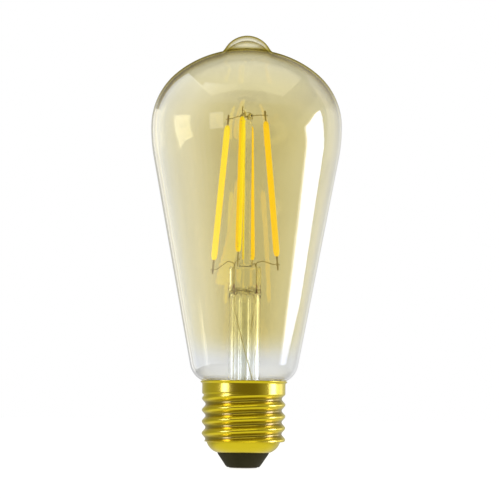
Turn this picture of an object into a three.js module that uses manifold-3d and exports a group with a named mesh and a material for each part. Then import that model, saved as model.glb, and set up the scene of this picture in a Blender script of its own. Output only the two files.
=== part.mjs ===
// LED filament lamp on an E27 screw cap. A clear blown envelope holds four filaments on a glass
// stem, and the cap holds the driver and its radio module. Millimetres, +Z up to the tip. The
// origin is the centre of the lowest face, where the centre contact meets the lampholder.
import * as THREE from "three";
import { mergeVertices } from "three/addons/utils/BufferGeometryUtils.js";
import Module from "manifold-3d";

const wasm = await Module();
wasm.setup();

// ---- Driving dimensions: envelope -----------------------------------------------------------
const MAX_RADIUS = 30.75; // widest radius of the glass
const EQUATOR_HEIGHT = 108.7; // height of the widest radius
const SHOULDER_RADIUS = 21.7; // arc that rounds the widest part
const SHOULDER_ARC = 48; // degrees it runs above the equator
const HAUNCH_RADIUS = 31.6; // flatter arc above the shoulder
const HAUNCH_END = 63; // degrees above the equator where the crown takes over
const TIP_RISE = 5.45; // the tip above the crown
const TIP_RADIUS = 8.35;
const TIP_FILLET = 6.5;
const WAIST_RADIUS = 54; // arc from the equator into the cone
const HEEL_RADIUS = 6.9; // arc from the cone in under the rim of the cap
const HEEL_RISE = 6.35; // centre of the heel arc above the rim of the cap
const HEEL_INSET = 3.0; // centre of the heel arc inside the rim's inner radius
const NECK_FILLET = 2.0; // where the heel turns down into the neck
const GLASS_WALL = 0.75;
const NECK_LENGTH = 8.6; // the neck's end below the rim of the cap

// ---- Driving dimensions: screw cap ----------------------------------------------------------
const THREAD_PITCH = 3.629;
const THREAD_CREST_RADIUS = 13.15;
const THREAD_DEPTH = 1.12;
const THREAD_START = 8.9; // height of the lowest crest on the +X side
const SHELL_WALL = 0.3;
const SKIRT_BOTTOM = 23.4; // plain band above the thread
const SKIRT_HEIGHT = 2.9;
const LIP_HEIGHT = 0.8; // rolled lip above the plain band
const LIP_FLARE = 0.55; // the lip beyond the plain band
const THREAD_END = 8.25; // the thread ends on a small step, and the bowl rounds in below it
const BOWL_STEP = 0.5;
const BOWL_STEP_HEIGHT = 0.25;
const BOWL_ARC_RADIUS = 5.0;
const BOWL_ARC_START = 18; // degrees below level
const BOWL_ARC_END = 69.5;
const CONTACT_PROUD = 0.3; // the centre contact below the insulator
const CONTACT_MARGIN = 0.8; // the contact's edge inside the insulator's tip
const CONTACT_BEVEL = 0.5;
const BARREL_RADIUS = 1.6; // the contact's barrel through the insulator
const BARREL_BORE = 0.9;
const INSULATOR_TIP_RADIUS = 5.3;
const FLANGE_INSET = 2.1; // the insulator's flange inside the shell
const INSULATOR_FLANGE = 1.0; // thickness of the flange inside the shell
const INSULATOR_EDGE = 0.2;

// ---- Driving dimensions: stem ---------------------------------------------------------------
const STEM_RADIUS = 5.1;
const STEM_WALL = 1.0;
const PRESS_BOTTOM = 56.2;
const PRESS_HEIGHT = 7.2;
const PRESS_THICKNESS = 4.5;
const PINCH_LENGTH = 5.5; // over which the round tube flattens into the press
const FLARE_HEIGHT = 9.5; // over which the tube opens to the neck
const FLANGE_THICKNESS = 0.8;
const EXHAUST_RADIUS = 1.9;
const EXHAUST_WALL = 0.8;
const EXHAUST_RISE = 2.4; // its sealed lower end above the board
const ROD_RADIUS = 1.75;
const BEAD_RADIUS = 2.1;
const BEAD_HEIGHT = 2.8;

// ---- Driving dimensions: filaments and wires ------------------------------------------------
const FILAMENT_LENGTH = 44; // coated length
const FILAMENT_LOW = 3.1; // its lower end above the press
const BEAD_RISE = 1.9; // the bead's middle above the filaments' upper ends
const FILAMENT_TOP_RADIUS = 6.3; // distance of its upper end from the axis
const FILAMENT_BOTTOM_RADIUS = 10.3;
const COAT_WIDTH = 1.9; // away from the axis
const COAT_DEPTH = 1.8; // round the axis
const STRIP_WIDTH = 0.8;
const STRIP_THICKNESS = 0.4;
const CHIP_COUNT = 20;
const CHIP_HEIGHT = 0.2;
const CHIP_LENGTH = 1.0;
const STRIP_INSET = 1.6; // the strip's end inside the coat's end
const TAB_WIDTH = 0.6;
const TAB_THICKNESS = 0.25;
const TAB_TOP_LENGTH = 3.6; // beyond the coat
const TAB_BOTTOM_LENGTH = 4.6;
const TAB_IN_COAT = 1.2;
const WIRE_RADIUS = 0.22;
const WIRE_BEYOND_TAB = 0.8;
const WIRE_BEND = 1.0; // rounding of a bend
const LEAD_STRAIGHT = 1.4; // straight stretch inside the tab
const LEAD_RISE = 1.6; // a lead's bend above the press
const HOOK_HEIGHT = 2.0; // a top wire above its filament's upper end
const WIRE_HOLE_RADIUS = 0.45;
const WIRE_INSET = 0.6; // a lead's centre inside the wall of the stem tube

// Each filament: the direction it stands in, its small lift against the others, how far below
// its lower end the lead crosses the tab, the direction in which the lead enters the press, and
// the lead's way down the stem as directions and heights, and the direction of its pad.
const FILAMENTS = [
  {
    name: "left",
    turn: 167.5,
    lift: -0.75,
    drop: 3.1,
    entry: 170,
    way: [[172, 50], [176, 28]],
    pad: 172,
  },
  {
    name: "front",
    turn: -102.5,
    lift: 0.5,
    drop: 2.2,
    entry: 200,
    way: [[205, 50], [260, 39.5], [313, 28]],
    pad: 325,
  },
  {
    name: "right",
    turn: -12.5,
    lift: 0.1,
    drop: 2.6,
    entry: -8,
    way: [[-5, 50], [8, 28]],
    pad: 20,
  },
  {
    name: "back",
    turn: 77.5,
    lift: 0.25,
    drop: 2.2,
    entry: 20,
    way: [[25, 50], [62, 40], [82, 28]],
    pad: 120,
  },
];

// ---- Driving dimensions: driver in the cap --------------------------------------------------
const BOARD_GAP = 1.53; // the board inside the thread root
const BOARD_THICKNESS = 1.0;
const DRIVER_ROOM = 5.0; // between the insulator and the board
const PAD_RADIUS = 3.3; // circle on which the leads meet the board
const LINER_INSET = 0.7; // the liner inside the board's edge
const LINER_WALL = 0.6;
const CAPACITOR_RADIUS = 2.3;
const CAPACITOR_LENGTH = 8;
const INDUCTOR_RADIUS = 2.4;
const INDUCTOR_HEIGHT = 4.2;
const INDUCTOR_TURN = 216; // direction it stands in
const RESISTOR_RADIUS = 1.0;
const RESISTOR_LENGTH = 5.4;
const RECTIFIER = { width: 4.6, depth: 3.8, height: 1.5, middle: -2.2 };
const RADIO_BOARD_SIZE = { width: 9, depth: 5.2, height: 0.8 };
const RADIO_SHIELD_SIZE = { width: 5.2, depth: 4.4, height: 1.4, middle: -1.4 };
const ANTENNA_SIZE = { width: 1.4, depth: 3.2, height: 0.7, middle: 3.1 };
const CHIP_SIZE = { width: 4.9, depth: 3.9, height: 1.5 };

// ---- Clearances -----------------------------------------------------------------------------
const SOLID_GAP = 0.3; // between fused or cemented pieces that curve round each other
const FIT_GAP = 0.1; // between pieces that slide into each other
const NECK_GAP = 0.68; // neck to thread root, room for the wire to the shell

// ---- Sizes that follow ----------------------------------------------------------------------
const THREAD_ROOT_RADIUS = THREAD_CREST_RADIUS - THREAD_DEPTH;
const RIM_HEIGHT = SKIRT_BOTTOM + SKIRT_HEIGHT + LIP_HEIGHT;
const LIP_RADIUS = THREAD_CREST_RADIUS + LIP_FLARE;
const LIP_INNER_RADIUS = LIP_RADIUS - SHELL_WALL - FIT_GAP;
const NECK_RADIUS = THREAD_ROOT_RADIUS - SHELL_WALL - NECK_GAP;
const NECK_BOTTOM = RIM_HEIGHT - NECK_LENGTH;
const PRESS_TOP = PRESS_BOTTOM + PRESS_HEIGHT;
const FILAMENT_CENTRE = PRESS_TOP + FILAMENT_LOW + FILAMENT_LENGTH / 2;
const BEAD_CENTRE = FILAMENT_CENTRE + FILAMENT_LENGTH / 2 + BEAD_RISE;
const ROD_TOP = BEAD_CENTRE - BEAD_HEIGHT / 2;
const BORE_RADIUS = STEM_RADIUS - STEM_WALL;
const LEAD_RADIUS = BORE_RADIUS - WIRE_INSET;
const BOARD_RADIUS = THREAD_ROOT_RADIUS - SHELL_WALL - BOARD_GAP;
const LINER_RADIUS = BOARD_RADIUS - LINER_INSET;
const LINER_INNER_RADIUS = LINER_RADIUS - LINER_WALL;
const CONTACT_RADIUS = INSULATOR_TIP_RADIUS - CONTACT_MARGIN;
const INSULATOR_FLANGE_RADIUS = THREAD_ROOT_RADIUS - SHELL_WALL - FLANGE_INSET;
const BOWL_TOP_RADIUS = THREAD_ROOT_RADIUS - BOWL_STEP;
const BOWL_CENTRE_RADIUS = BOWL_TOP_RADIUS - BOWL_ARC_RADIUS * cosine(BOWL_ARC_START);
const BOWL_CENTRE_HEIGHT = THREAD_END - BOWL_STEP_HEIGHT + BOWL_ARC_RADIUS * sine(BOWL_ARC_START);
const BOWL_END_RADIUS = BOWL_CENTRE_RADIUS + (BOWL_ARC_RADIUS - SHELL_WALL) * cosine(BOWL_ARC_END);
const BOWL_END_HEIGHT = BOWL_CENTRE_HEIGHT - BOWL_ARC_RADIUS * sine(BOWL_ARC_END);
const INSULATOR_RADIUS = BOWL_END_RADIUS - SOLID_GAP;
const FLANGE_BOTTOM = BOWL_END_HEIGHT + SHELL_WALL + 1;
const FLANGE_TOP = FLANGE_BOTTOM + INSULATOR_FLANGE;
const BOARD_BOTTOM = FLANGE_TOP + DRIVER_ROOM;
const BOARD_TOP = BOARD_BOTTOM + BOARD_THICKNESS;
const EXHAUST_TAIL = BOARD_TOP + EXHAUST_RISE;

// ---- Segments round each turned piece -------------------------------------------------------
const ENVELOPE_SEGMENTS = 28;
const SHELL_SEGMENTS = 32;
const STEM_SEGMENTS = 20;
const SMALL_SEGMENTS = 12;
const WIRE_SIDES = 6;

// ---- Materials ------------------------------------------------------------------------------
function material(color, roughness, metalness = 0) {
  return new THREE.MeshStandardMaterial({ color, roughness, metalness });
}

function clear(color, opacity) {
  const finish = material(color, 0.03);
  finish.transparent = true;
  finish.opacity = opacity;
  return finish;
}

const AMBER_GLASS = () => clear(0xd8c889, 0.35);
const STEM_GLASS = () => clear(0xe8ecec, 0.4);
const PHOSPHOR = () => material(0xffc21a, 0.5);
const STRIP = () => material(0xe8e2cf, 0.5);
const NICKEL = () => material(0x9a9480, 0.35, 1);
const BRASS = () => material(0xc9a227, 0.2, 1);
const CONTACT_METAL = () => material(0xb9b4a8, 0.35, 1);
const BLACK_GLASS = () => material(0x15150f, 0.35);
const CEMENT = () => material(0xc9c3b4, 0.9);
const LINER = () => material(0xe9e6dc, 0.6);
const BOARD = () => material(0xeae7df, 0.55);
const RADIO_BOARD = () => material(0x10472c, 0.5);
const SHIELD = () => material(0xb7b9ba, 0.3, 1);
const CERAMIC = () => material(0xe6dcc8, 0.6);
const BLACK_PLASTIC = () => material(0x1b1b1c, 0.5);
const CAPACITOR_SLEEVE = () => material(0x22252b, 0.4);
const FERRITE = () => material(0x2b2c2e, 0.7);
const COPPER = () => material(0xb5652c, 0.35, 1);
const RESISTOR = () => material(0x6f8f9c, 0.55);

// ---- Helpers --------------------------------------------------------------------------------
function cosine(degrees) {
  return Math.cos(THREE.MathUtils.degToRad(degrees));
}

function sine(degrees) {
  return Math.sin(THREE.MathUtils.degToRad(degrees));
}

function smooth(value, low, high) {
  return THREE.MathUtils.smoothstep(value, low, high);
}

function at(radius, height) {
  return new THREE.Vector2(radius, height);
}

// Points of an arc in a turned profile, from one angle to another in degrees.
function arc(centre, radius, from, to, steps) {
  const points = [];
  for (let step = 0; step <= steps; step += 1) {
    const angle = THREE.MathUtils.lerp(from, to, step / steps);
    points.push(at(Math.max(centre.x + radius * cosine(angle), 0), centre.y + radius * sine(angle)));
  }
  return points;
}

// Half the length of a circle's chord at a distance from its centre.
function chord(radius, distance) {
  return Math.sqrt(radius ** 2 - distance ** 2);
}

function angleOf(from, to) {
  return THREE.MathUtils.radToDeg(Math.atan2(to.y - from.y, to.x - from.x));
}

// Turns a profile about the Z axis. The profile runs up the outside and down the inside.
function turned(points, segments) {
  const geometry = new THREE.LatheGeometry(points, segments);
  geometry.rotateX(Math.PI / 2);
  return geometry;
}

function ring(inner, outer, bottom, top, segments) {
  const corners = [at(inner, bottom), at(outer, bottom), at(outer, top), at(inner, top)];
  return turned([...corners, corners[0].clone()], segments);
}

function rod(radius, bottom, top, segments) {
  return turned([at(0, bottom), at(radius, bottom), at(radius, top), at(0, top)], segments);
}

function box(width, depth, height) {
  return new THREE.BoxGeometry(width, depth, height);
}

// A round wire along straight stretches with rounded bends.
function wire(points, radius = WIRE_RADIUS) {
  const path = new THREE.CurvePath();
  let start = points[0];
  for (let index = 1; index < points.length - 1; index += 1) {
    const corner = points[index];
    const [toLast, toNext] = [-1, 1].map((step) => points[index + step].clone().sub(corner));
    const bend = Math.min(WIRE_BEND, 0.45 * toLast.length(), 0.45 * toNext.length());
    const before = corner.clone().addScaledVector(toLast.normalize(), bend);
    const after = corner.clone().addScaledVector(toNext.normalize(), bend);
    path.add(new THREE.LineCurve3(start, before));
    path.add(new THREE.QuadraticBezierCurve3(before, corner, after));
    start = after;
  }
  path.add(new THREE.LineCurve3(start, points[points.length - 1]));
  const section = new THREE.Shape();
  for (let side = 0; side < WIRE_SIDES; side += 1) {
    const angle = (side / WIRE_SIDES) * 360;
    section[side ? "lineTo" : "moveTo"](radius * cosine(angle), radius * sine(angle));
  }
  section.closePath();
  const steps = Math.max(1, Math.ceil(path.getLength() / 1.7));
  return new THREE.ExtrudeGeometry(section, { extrudePath: path, steps, bevelEnabled: false });
}

// A closed solid of the boolean library from a geometry.
function solid(geometry) {
  const bare = geometry.clone();
  bare.deleteAttribute("normal");
  bare.deleteAttribute("uv");
  const merged = mergeVertices(bare, 1e-4);
  const triangles = [];
  const index = merged.index.array;
  for (let start = 0; start < index.length; start += 3) {
    const [a, b, c] = index.slice(start, start + 3);
    if (a !== b && b !== c && c !== a) {
      triangles.push(a, b, c);
    }
  }
  const vertProperties = new Float32Array(merged.attributes.position.array);
  const triVerts = new Uint32Array(triangles);
  return new wasm.Manifold(new wasm.Mesh({ numProp: 3, vertProperties, triVerts }));
}

function geometryOf(body) {
  const mesh = body.getMesh();
  const geometry = new THREE.BufferGeometry();
  geometry.setAttribute("position", new THREE.BufferAttribute(mesh.vertProperties, 3));
  geometry.setIndex(new THREE.BufferAttribute(mesh.triVerts, 1));
  geometry.computeVertexNormals();
  return geometry;
}

function without(geometry, cutters) {
  return geometryOf(cutters.reduce((body, cutter) => body.subtract(solid(cutter)), solid(geometry)));
}

const lamp = new THREE.Group();

function add(parent, name, geometry, finish) {
  const mesh = new THREE.Mesh(geometry, finish);
  mesh.name = name;
  parent.add(mesh);
  return mesh;
}

// ---- Envelope -------------------------------------------------------------------------------

// The outside of the envelope moved in by an inset, from the neck's end up to the tip on the axis.
function envelopeOutline(inset) {
  const heel = at(LIP_INNER_RADIUS - HEEL_INSET, RIM_HEIGHT + HEEL_RISE);
  const waist = at(MAX_RADIUS - WAIST_RADIUS, EQUATOR_HEIGHT);
  const shoulder = at(MAX_RADIUS - SHOULDER_RADIUS, EQUATOR_HEIGHT);
  const haunch = at(
    shoulder.x - (HAUNCH_RADIUS - SHOULDER_RADIUS) * cosine(SHOULDER_ARC),
    shoulder.y - (HAUNCH_RADIUS - SHOULDER_RADIUS) * sine(SHOULDER_ARC),
  );
  const crownRadius = HAUNCH_RADIUS + haunch.x / cosine(HAUNCH_END);
  const crown = at(0, haunch.y - haunch.x * Math.tan(THREE.MathUtils.degToRad(HAUNCH_END)));
  const tip = at(0, crown.y + crownRadius + TIP_RISE - TIP_RADIUS);

  // The concave fillet touches the crown arc and the tip arc.
  const toCrown = crownRadius + TIP_FILLET;
  const toTip = TIP_RADIUS + TIP_FILLET;
  const apart = tip.y - crown.y;
  const along = (toCrown ** 2 - toTip ** 2 + apart ** 2) / (2 * apart);
  const tipFillet = at(Math.sqrt(toCrown ** 2 - along ** 2), crown.y + along);

  // The cone is the common tangent of the waist arc and the heel arc.
  const span = waist.clone().sub(heel);
  const lean = Math.atan2(span.y, span.x) - Math.acos((HEEL_RADIUS - WAIST_RADIUS) / span.length());
  const cone = THREE.MathUtils.radToDeg(lean);

  // The neck fillet touches the heel arc and the straight neck.
  const neckFilletRadius = NECK_RADIUS + NECK_FILLET;
  const drop = Math.sqrt((HEEL_RADIUS + NECK_FILLET) ** 2 - (neckFilletRadius - heel.x) ** 2);
  const neckFillet = at(neckFilletRadius, heel.y - drop);
  const heelEnd = angleOf(heel, neckFillet);

  const tipFoot = angleOf(crown, tipFillet);
  const tipHead = angleOf(tip, tipFillet);

  return [
    at(NECK_RADIUS - inset, NECK_BOTTOM),
    ...arc(neckFillet, NECK_FILLET + inset, 180, 180 + heelEnd, 4),
    ...arc(heel, HEEL_RADIUS - inset, heelEnd, cone, 6).slice(1),
    ...arc(waist, WAIST_RADIUS - inset, cone, 0, 4),
    ...arc(shoulder, SHOULDER_RADIUS - inset, 0, SHOULDER_ARC, 5).slice(1),
    ...arc(haunch, HAUNCH_RADIUS - inset, SHOULDER_ARC, HAUNCH_END, 2).slice(1),
    ...arc(crown, crownRadius - inset, HAUNCH_END, tipFoot, 3).slice(1),
    ...arc(tipFillet, TIP_FILLET + inset, 180 + tipFoot, 180 + tipHead, 3).slice(1),
    ...arc(tip, TIP_RADIUS - inset, tipHead, 90, 4).slice(1),
  ];
}

function makeEnvelope() {
  const profile = [...envelopeOutline(GLASS_WALL).reverse(), ...envelopeOutline(0)];
  add(lamp, "glass_envelope", turned(profile, ENVELOPE_SEGMENTS), AMBER_GLASS());
}

// ---- Screw cap ------------------------------------------------------------------------------

// How far the rolled thread stands out at a height and an angle: a right-hand rounded wave that
// fades out below the plain band and above the bowl.
function threadHeight(height, angle) {
  const turns = (height - THREAD_START) / THREAD_PITCH - angle / (2 * Math.PI);
  const wave = 0.5 + 0.5 * Math.cos(2 * Math.PI * turns);
  const skirt = smooth(height, SKIRT_BOTTOM - 1.1, SKIRT_BOTTOM);
  const start = smooth(height, THREAD_END - 0.1, THREAD_END);
  return THREAD_DEPTH * THREE.MathUtils.lerp(wave * start, 1, skirt);
}

function shellOutline(wall) {
  const bowl = at(BOWL_CENTRE_RADIUS, BOWL_CENTRE_HEIGHT);
  const points = arc(bowl, BOWL_ARC_RADIUS - wall, -BOWL_ARC_END, -BOWL_ARC_START, 5);
  const rows = Math.round((6 * (SKIRT_BOTTOM - THREAD_END)) / THREAD_PITCH);
  for (let row = 0; row <= rows; row += 1) {
    const height = THREE.MathUtils.lerp(THREAD_END + wall, SKIRT_BOTTOM, row / rows);
    points.push(at(THREAD_ROOT_RADIUS - wall, height));
  }
  return points;
}

function makeShell() {
  const flareBottom = SKIRT_BOTTOM + SKIRT_HEIGHT;
  const lipInset = LIP_RADIUS - LIP_INNER_RADIUS;
  const lip = (wall, height) => at(THREAD_ROOT_RADIUS + LIP_FLARE - wall, height);
  const profile = [
    ...shellOutline(0),
    at(THREAD_ROOT_RADIUS, flareBottom),
    lip(0, flareBottom + LIP_FLARE),
    lip(0.1, RIM_HEIGHT),
    lip(lipInset, RIM_HEIGHT),
    lip(lipInset, flareBottom + LIP_FLARE),
    at(THREAD_ROOT_RADIUS - SHELL_WALL, flareBottom - FIT_GAP),
    ...shellOutline(SHELL_WALL).reverse(),
  ];
  const geometry = turned([...profile, profile[0].clone()], SHELL_SEGMENTS);
  const position = geometry.attributes.position;
  for (let index = 0; index < position.count; index += 1) {
    const x = position.getX(index);
    const y = position.getY(index);
    const radius = Math.hypot(x, y);
    const grown = 1 + threadHeight(position.getZ(index), Math.atan2(y, x)) / radius;
    position.setXY(index, x * grown, y * grown);
  }
  add(lamp, "cap_shell", geometry, BRASS());
}

function makeCapEnds() {
  const insulator = [
    at(BARREL_RADIUS + SOLID_GAP, CONTACT_PROUD),
    at(INSULATOR_TIP_RADIUS - INSULATOR_EDGE, CONTACT_PROUD),
    at(INSULATOR_TIP_RADIUS, CONTACT_PROUD + INSULATOR_EDGE),
    at(INSULATOR_RADIUS, BOWL_END_HEIGHT - SHELL_WALL),
    at(INSULATOR_RADIUS, FLANGE_BOTTOM),
    at(INSULATOR_FLANGE_RADIUS, FLANGE_BOTTOM),
    at(INSULATOR_FLANGE_RADIUS, FLANGE_TOP),
    at(BARREL_RADIUS + SOLID_GAP, FLANGE_TOP),
  ];
  add(lamp, "cap_insulator", turned([...insulator, insulator[0].clone()], 32), BLACK_GLASS());

  const barrelTop = FLANGE_TOP - FIT_GAP;
  const contact = [
    at(0, 0),
    at(CONTACT_RADIUS - CONTACT_BEVEL, 0),
    at(CONTACT_RADIUS, CONTACT_PROUD),
    at(BARREL_RADIUS, CONTACT_PROUD),
    at(BARREL_RADIUS, barrelTop),
    at(BARREL_BORE, barrelTop),
    at(BARREL_BORE, CONTACT_PROUD + BARREL_BORE),
    at(0, CONTACT_PROUD + BARREL_BORE),
  ];
  add(lamp, "centre_contact", turned(contact, 24), CONTACT_METAL());
}

// Cement between the neck and the plain band of the shell.
function makeCement() {
  const top = SKIRT_BOTTOM + SKIRT_HEIGHT - SOLID_GAP;
  const outer = THREAD_CREST_RADIUS - SHELL_WALL - FIT_GAP;
  const profile = [
    at(NECK_RADIUS + FIT_GAP, SKIRT_BOTTOM),
    at(outer, SKIRT_BOTTOM),
    at(outer, top),
    at(NECK_RADIUS + NECK_FILLET / 2, top),
    at(NECK_RADIUS + FIT_GAP, top - NECK_FILLET),
  ];
  const geometry = turned([...profile, profile[0].clone()], SHELL_SEGMENTS);
  add(lamp, "basing_cement", geometry, CEMENT());
}

// ---- Stem -----------------------------------------------------------------------------------

// How flat the stem is at a height: 1 where the tube is round, less where the press is pinched.
function pinch(height) {
  const flat = PRESS_THICKNESS / (2 * STEM_RADIUS);
  return THREE.MathUtils.lerp(1, flat, smooth(height, PRESS_BOTTOM - PINCH_LENGTH, PRESS_BOTTOM));
}

function makeStem() {
  const flare = (inset) => {
    const points = [];
    const foot = NECK_BOTTOM;
    const widest = NECK_RADIUS - GLASS_WALL - SOLID_GAP;
    for (let step = 0; step <= 6; step += 1) {
      const part = step / 6;
      const radius = THREE.MathUtils.lerp(STEM_RADIUS, widest, (1 - part) ** 2.4);
      points.push(at(radius - inset, foot + FLARE_HEIGHT * part));
    }
    return points;
  };
  const domeRadius = BORE_RADIUS / 2;
  const boreTop = PRESS_BOTTOM - FIT_GAP;
  const dome = arc(at(BORE_RADIUS - domeRadius, boreTop - domeRadius), domeRadius, 90, 0, 3);
  const pinchRows = [0.25, 0.5, 0.75].map((part) => PRESS_BOTTOM - PINCH_LENGTH * (1 - part));
  const profile = [
    at(0, boreTop),
    ...dome,
    at(BORE_RADIUS, PRESS_BOTTOM - PINCH_LENGTH),
    ...flare(STEM_WALL).reverse(),
    at(NECK_RADIUS - GLASS_WALL - SOLID_GAP - STEM_WALL, NECK_BOTTOM - FLANGE_THICKNESS),
    at(NECK_RADIUS, NECK_BOTTOM - FLANGE_THICKNESS),
    at(NECK_RADIUS, NECK_BOTTOM),
    ...flare(0),
    at(STEM_RADIUS, PRESS_BOTTOM - PINCH_LENGTH),
    ...pinchRows.map((height) => at(STEM_RADIUS, height)),
    at(STEM_RADIUS, PRESS_BOTTOM),
    at(STEM_RADIUS, PRESS_TOP - 0.5),
    at(STEM_RADIUS - 0.5, PRESS_TOP),
    at(0, PRESS_TOP),
  ];
  const body = turned(profile, STEM_SEGMENTS);
  const position = body.attributes.position;
  for (let index = 0; index < position.count; index += 1) {
    position.setY(index, position.getY(index) * pinch(position.getZ(index)));
  }
  const holes = FILAMENTS.map(({ entry }) => {
    const hole = rod(WIRE_HOLE_RADIUS, boreTop - BORE_RADIUS, PRESS_TOP + 1, 8);
    const { x, y } = beside(entry, LEAD_RADIUS, 0, 0);
    return hole.translate(x, y, 0);
  });
  add(lamp, "stem_press", without(body, holes), STEM_GLASS());

  // The exhaust tube is sealed at its tail and open at the top, where the stem is still wide.
  const top = PRESS_BOTTOM - PINCH_LENGTH / 2;
  const inner = EXHAUST_RADIUS - EXHAUST_WALL;
  const tube = [
    ...arc(at(0, EXHAUST_TAIL + EXHAUST_RADIUS), EXHAUST_RADIUS, -90, 0, 3),
    at(EXHAUST_RADIUS, top),
    at(inner, top),
    ...arc(at(0, EXHAUST_TAIL + EXHAUST_RADIUS), inner, 0, -90, 2),
  ];
  add(lamp, "exhaust_tube", turned(tube, SMALL_SEGMENTS), STEM_GLASS());

  // The rod stands on the press and ends in the bead that holds the top wires.
  const half = BEAD_HEIGHT / 2;
  const profileOfRod = [
    at(0, PRESS_TOP),
    at(ROD_RADIUS, PRESS_TOP),
    at(ROD_RADIUS, ROD_TOP - 0.4),
    at(ROD_RADIUS * 0.8, ROD_TOP),
    at(BEAD_RADIUS, BEAD_CENTRE - half / 2),
    at(BEAD_RADIUS, BEAD_CENTRE + half / 2),
    at(BEAD_RADIUS / 2, BEAD_CENTRE + half),
    at(0, BEAD_CENTRE + half),
  ];
  const sockets = FILAMENTS.map(({ turn }) => {
    const socket = rod(WIRE_HOLE_RADIUS, BEAD_RADIUS * 0.4, BEAD_RADIUS * 2, 8);
    socket.rotateY(Math.PI / 2);
    socket.rotateZ(THREE.MathUtils.degToRad(turn));
    return socket.translate(0, 0, BEAD_CENTRE);
  });
  add(lamp, "support_rod", without(turned(profileOfRod, SMALL_SEGMENTS), sockets), STEM_GLASS());
}

// ---- Filaments ------------------------------------------------------------------------------

// A point beside a filament: its distance from the axis, its offset to the side, its height.
function beside(turn, radius, side, height) {
  return new THREE.Vector3(
    radius * cosine(turn) - side * sine(turn),
    radius * sine(turn) + side * cosine(turn),
    height,
  );
}

// The distance of a filament's line from the axis at a height above its middle.
function lineRadius(rise) {
  const middle = (FILAMENT_TOP_RADIUS + FILAMENT_BOTTOM_RADIUS) / 2;
  return middle - ((FILAMENT_BOTTOM_RADIUS - FILAMENT_TOP_RADIUS) * rise) / FILAMENT_LENGTH;
}

// A frame at the middle of a filament: Z along it, Y round the lamp's axis, where its chips face,
// and X away from the axis.
function filamentFrame(turn, centre) {
  const middle = beside(turn, lineRadius(0), 0, centre);
  const along = beside(turn, lineRadius(1), 0, centre + 1).sub(middle).normalize();
  const around = beside(turn, 0, 1, 0);
  const outward = new THREE.Vector3().crossVectors(around, along);
  const frame = new THREE.Group();
  frame.position.copy(middle);
  frame.quaternion.setFromRotationMatrix(new THREE.Matrix4().makeBasis(outward, around, along));
  return frame;
}

function rectangle(width, depth, corner) {
  const outline = new THREE.Shape();
  const x = width / 2;
  const y = depth / 2;
  outline.moveTo(x, -y + corner);
  outline.lineTo(x, y - corner);
  outline.lineTo(x - corner, y);
  outline.lineTo(-x + corner, y);
  outline.lineTo(-x, y - corner);
  outline.lineTo(-x, -y + corner);
  outline.lineTo(-x + corner, -y);
  outline.lineTo(x - corner, -y);
  outline.closePath();
  return outline;
}

function makeCoat(frame, name) {
  const outline = rectangle(COAT_WIDTH, COAT_DEPTH, COAT_DEPTH / 3.5);
  const x = STRIP_WIDTH / 2 + FIT_GAP;
  const low = -STRIP_THICKNESS / 2 - FIT_GAP;
  const high = STRIP_THICKNESS / 2 + CHIP_HEIGHT + FIT_GAP;
  const channel = new THREE.Path();
  channel.moveTo(-x, low);
  channel.lineTo(-x, high);
  channel.lineTo(x, high);
  channel.lineTo(x, low);
  channel.closePath();
  outline.holes.push(channel);
  const coat = new THREE.ExtrudeGeometry(outline, { depth: FILAMENT_LENGTH, bevelEnabled: false });
  coat.translate(0, 0, -FILAMENT_LENGTH / 2);
  add(frame, `filament_coat_${name}`, coat, PHOSPHOR());
}

// The substrate with its row of chips, as one side outline drawn out across the width.
function makeStrip(frame, name) {
  const length = FILAMENT_LENGTH - 2 * STRIP_INSET;
  const spacing = length / CHIP_COUNT;
  const face = STRIP_THICKNESS / 2;
  const side = new THREE.Shape();
  side.moveTo(-length / 2, -face);
  side.lineTo(length / 2, -face);
  side.lineTo(length / 2, face);
  for (let chip = CHIP_COUNT - 1; chip >= 0; chip -= 1) {
    const centre = -length / 2 + (chip + 0.5) * spacing;
    side.lineTo(centre + CHIP_LENGTH / 2, face);
    side.lineTo(centre + CHIP_LENGTH / 2, face + CHIP_HEIGHT);
    side.lineTo(centre - CHIP_LENGTH / 2, face + CHIP_HEIGHT);
    side.lineTo(centre - CHIP_LENGTH / 2, face);
  }
  side.lineTo(-length / 2, face);
  side.closePath();
  const strip = new THREE.ExtrudeGeometry(side, { depth: STRIP_WIDTH, bevelEnabled: false });
  strip.translate(0, 0, -STRIP_WIDTH / 2);
  strip.rotateY(-Math.PI / 2);
  add(frame, `chip_strip_${name}`, strip, STRIP());
}

function makeTabs(frame, name) {
  const ends = [
    { end: "top", way: 1, length: TAB_TOP_LENGTH },
    { end: "bottom", way: -1, length: TAB_BOTTOM_LENGTH },
  ];
  for (const { end, way, length } of ends) {
    const tab = box(TAB_WIDTH, TAB_THICKNESS, length + TAB_IN_COAT);
    tab.translate(0, 0, way * (FILAMENT_LENGTH / 2 + (length - TAB_IN_COAT) / 2));
    add(frame, `filament_tab_${name}_${end}`, tab, NICKEL());
  }
}

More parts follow.
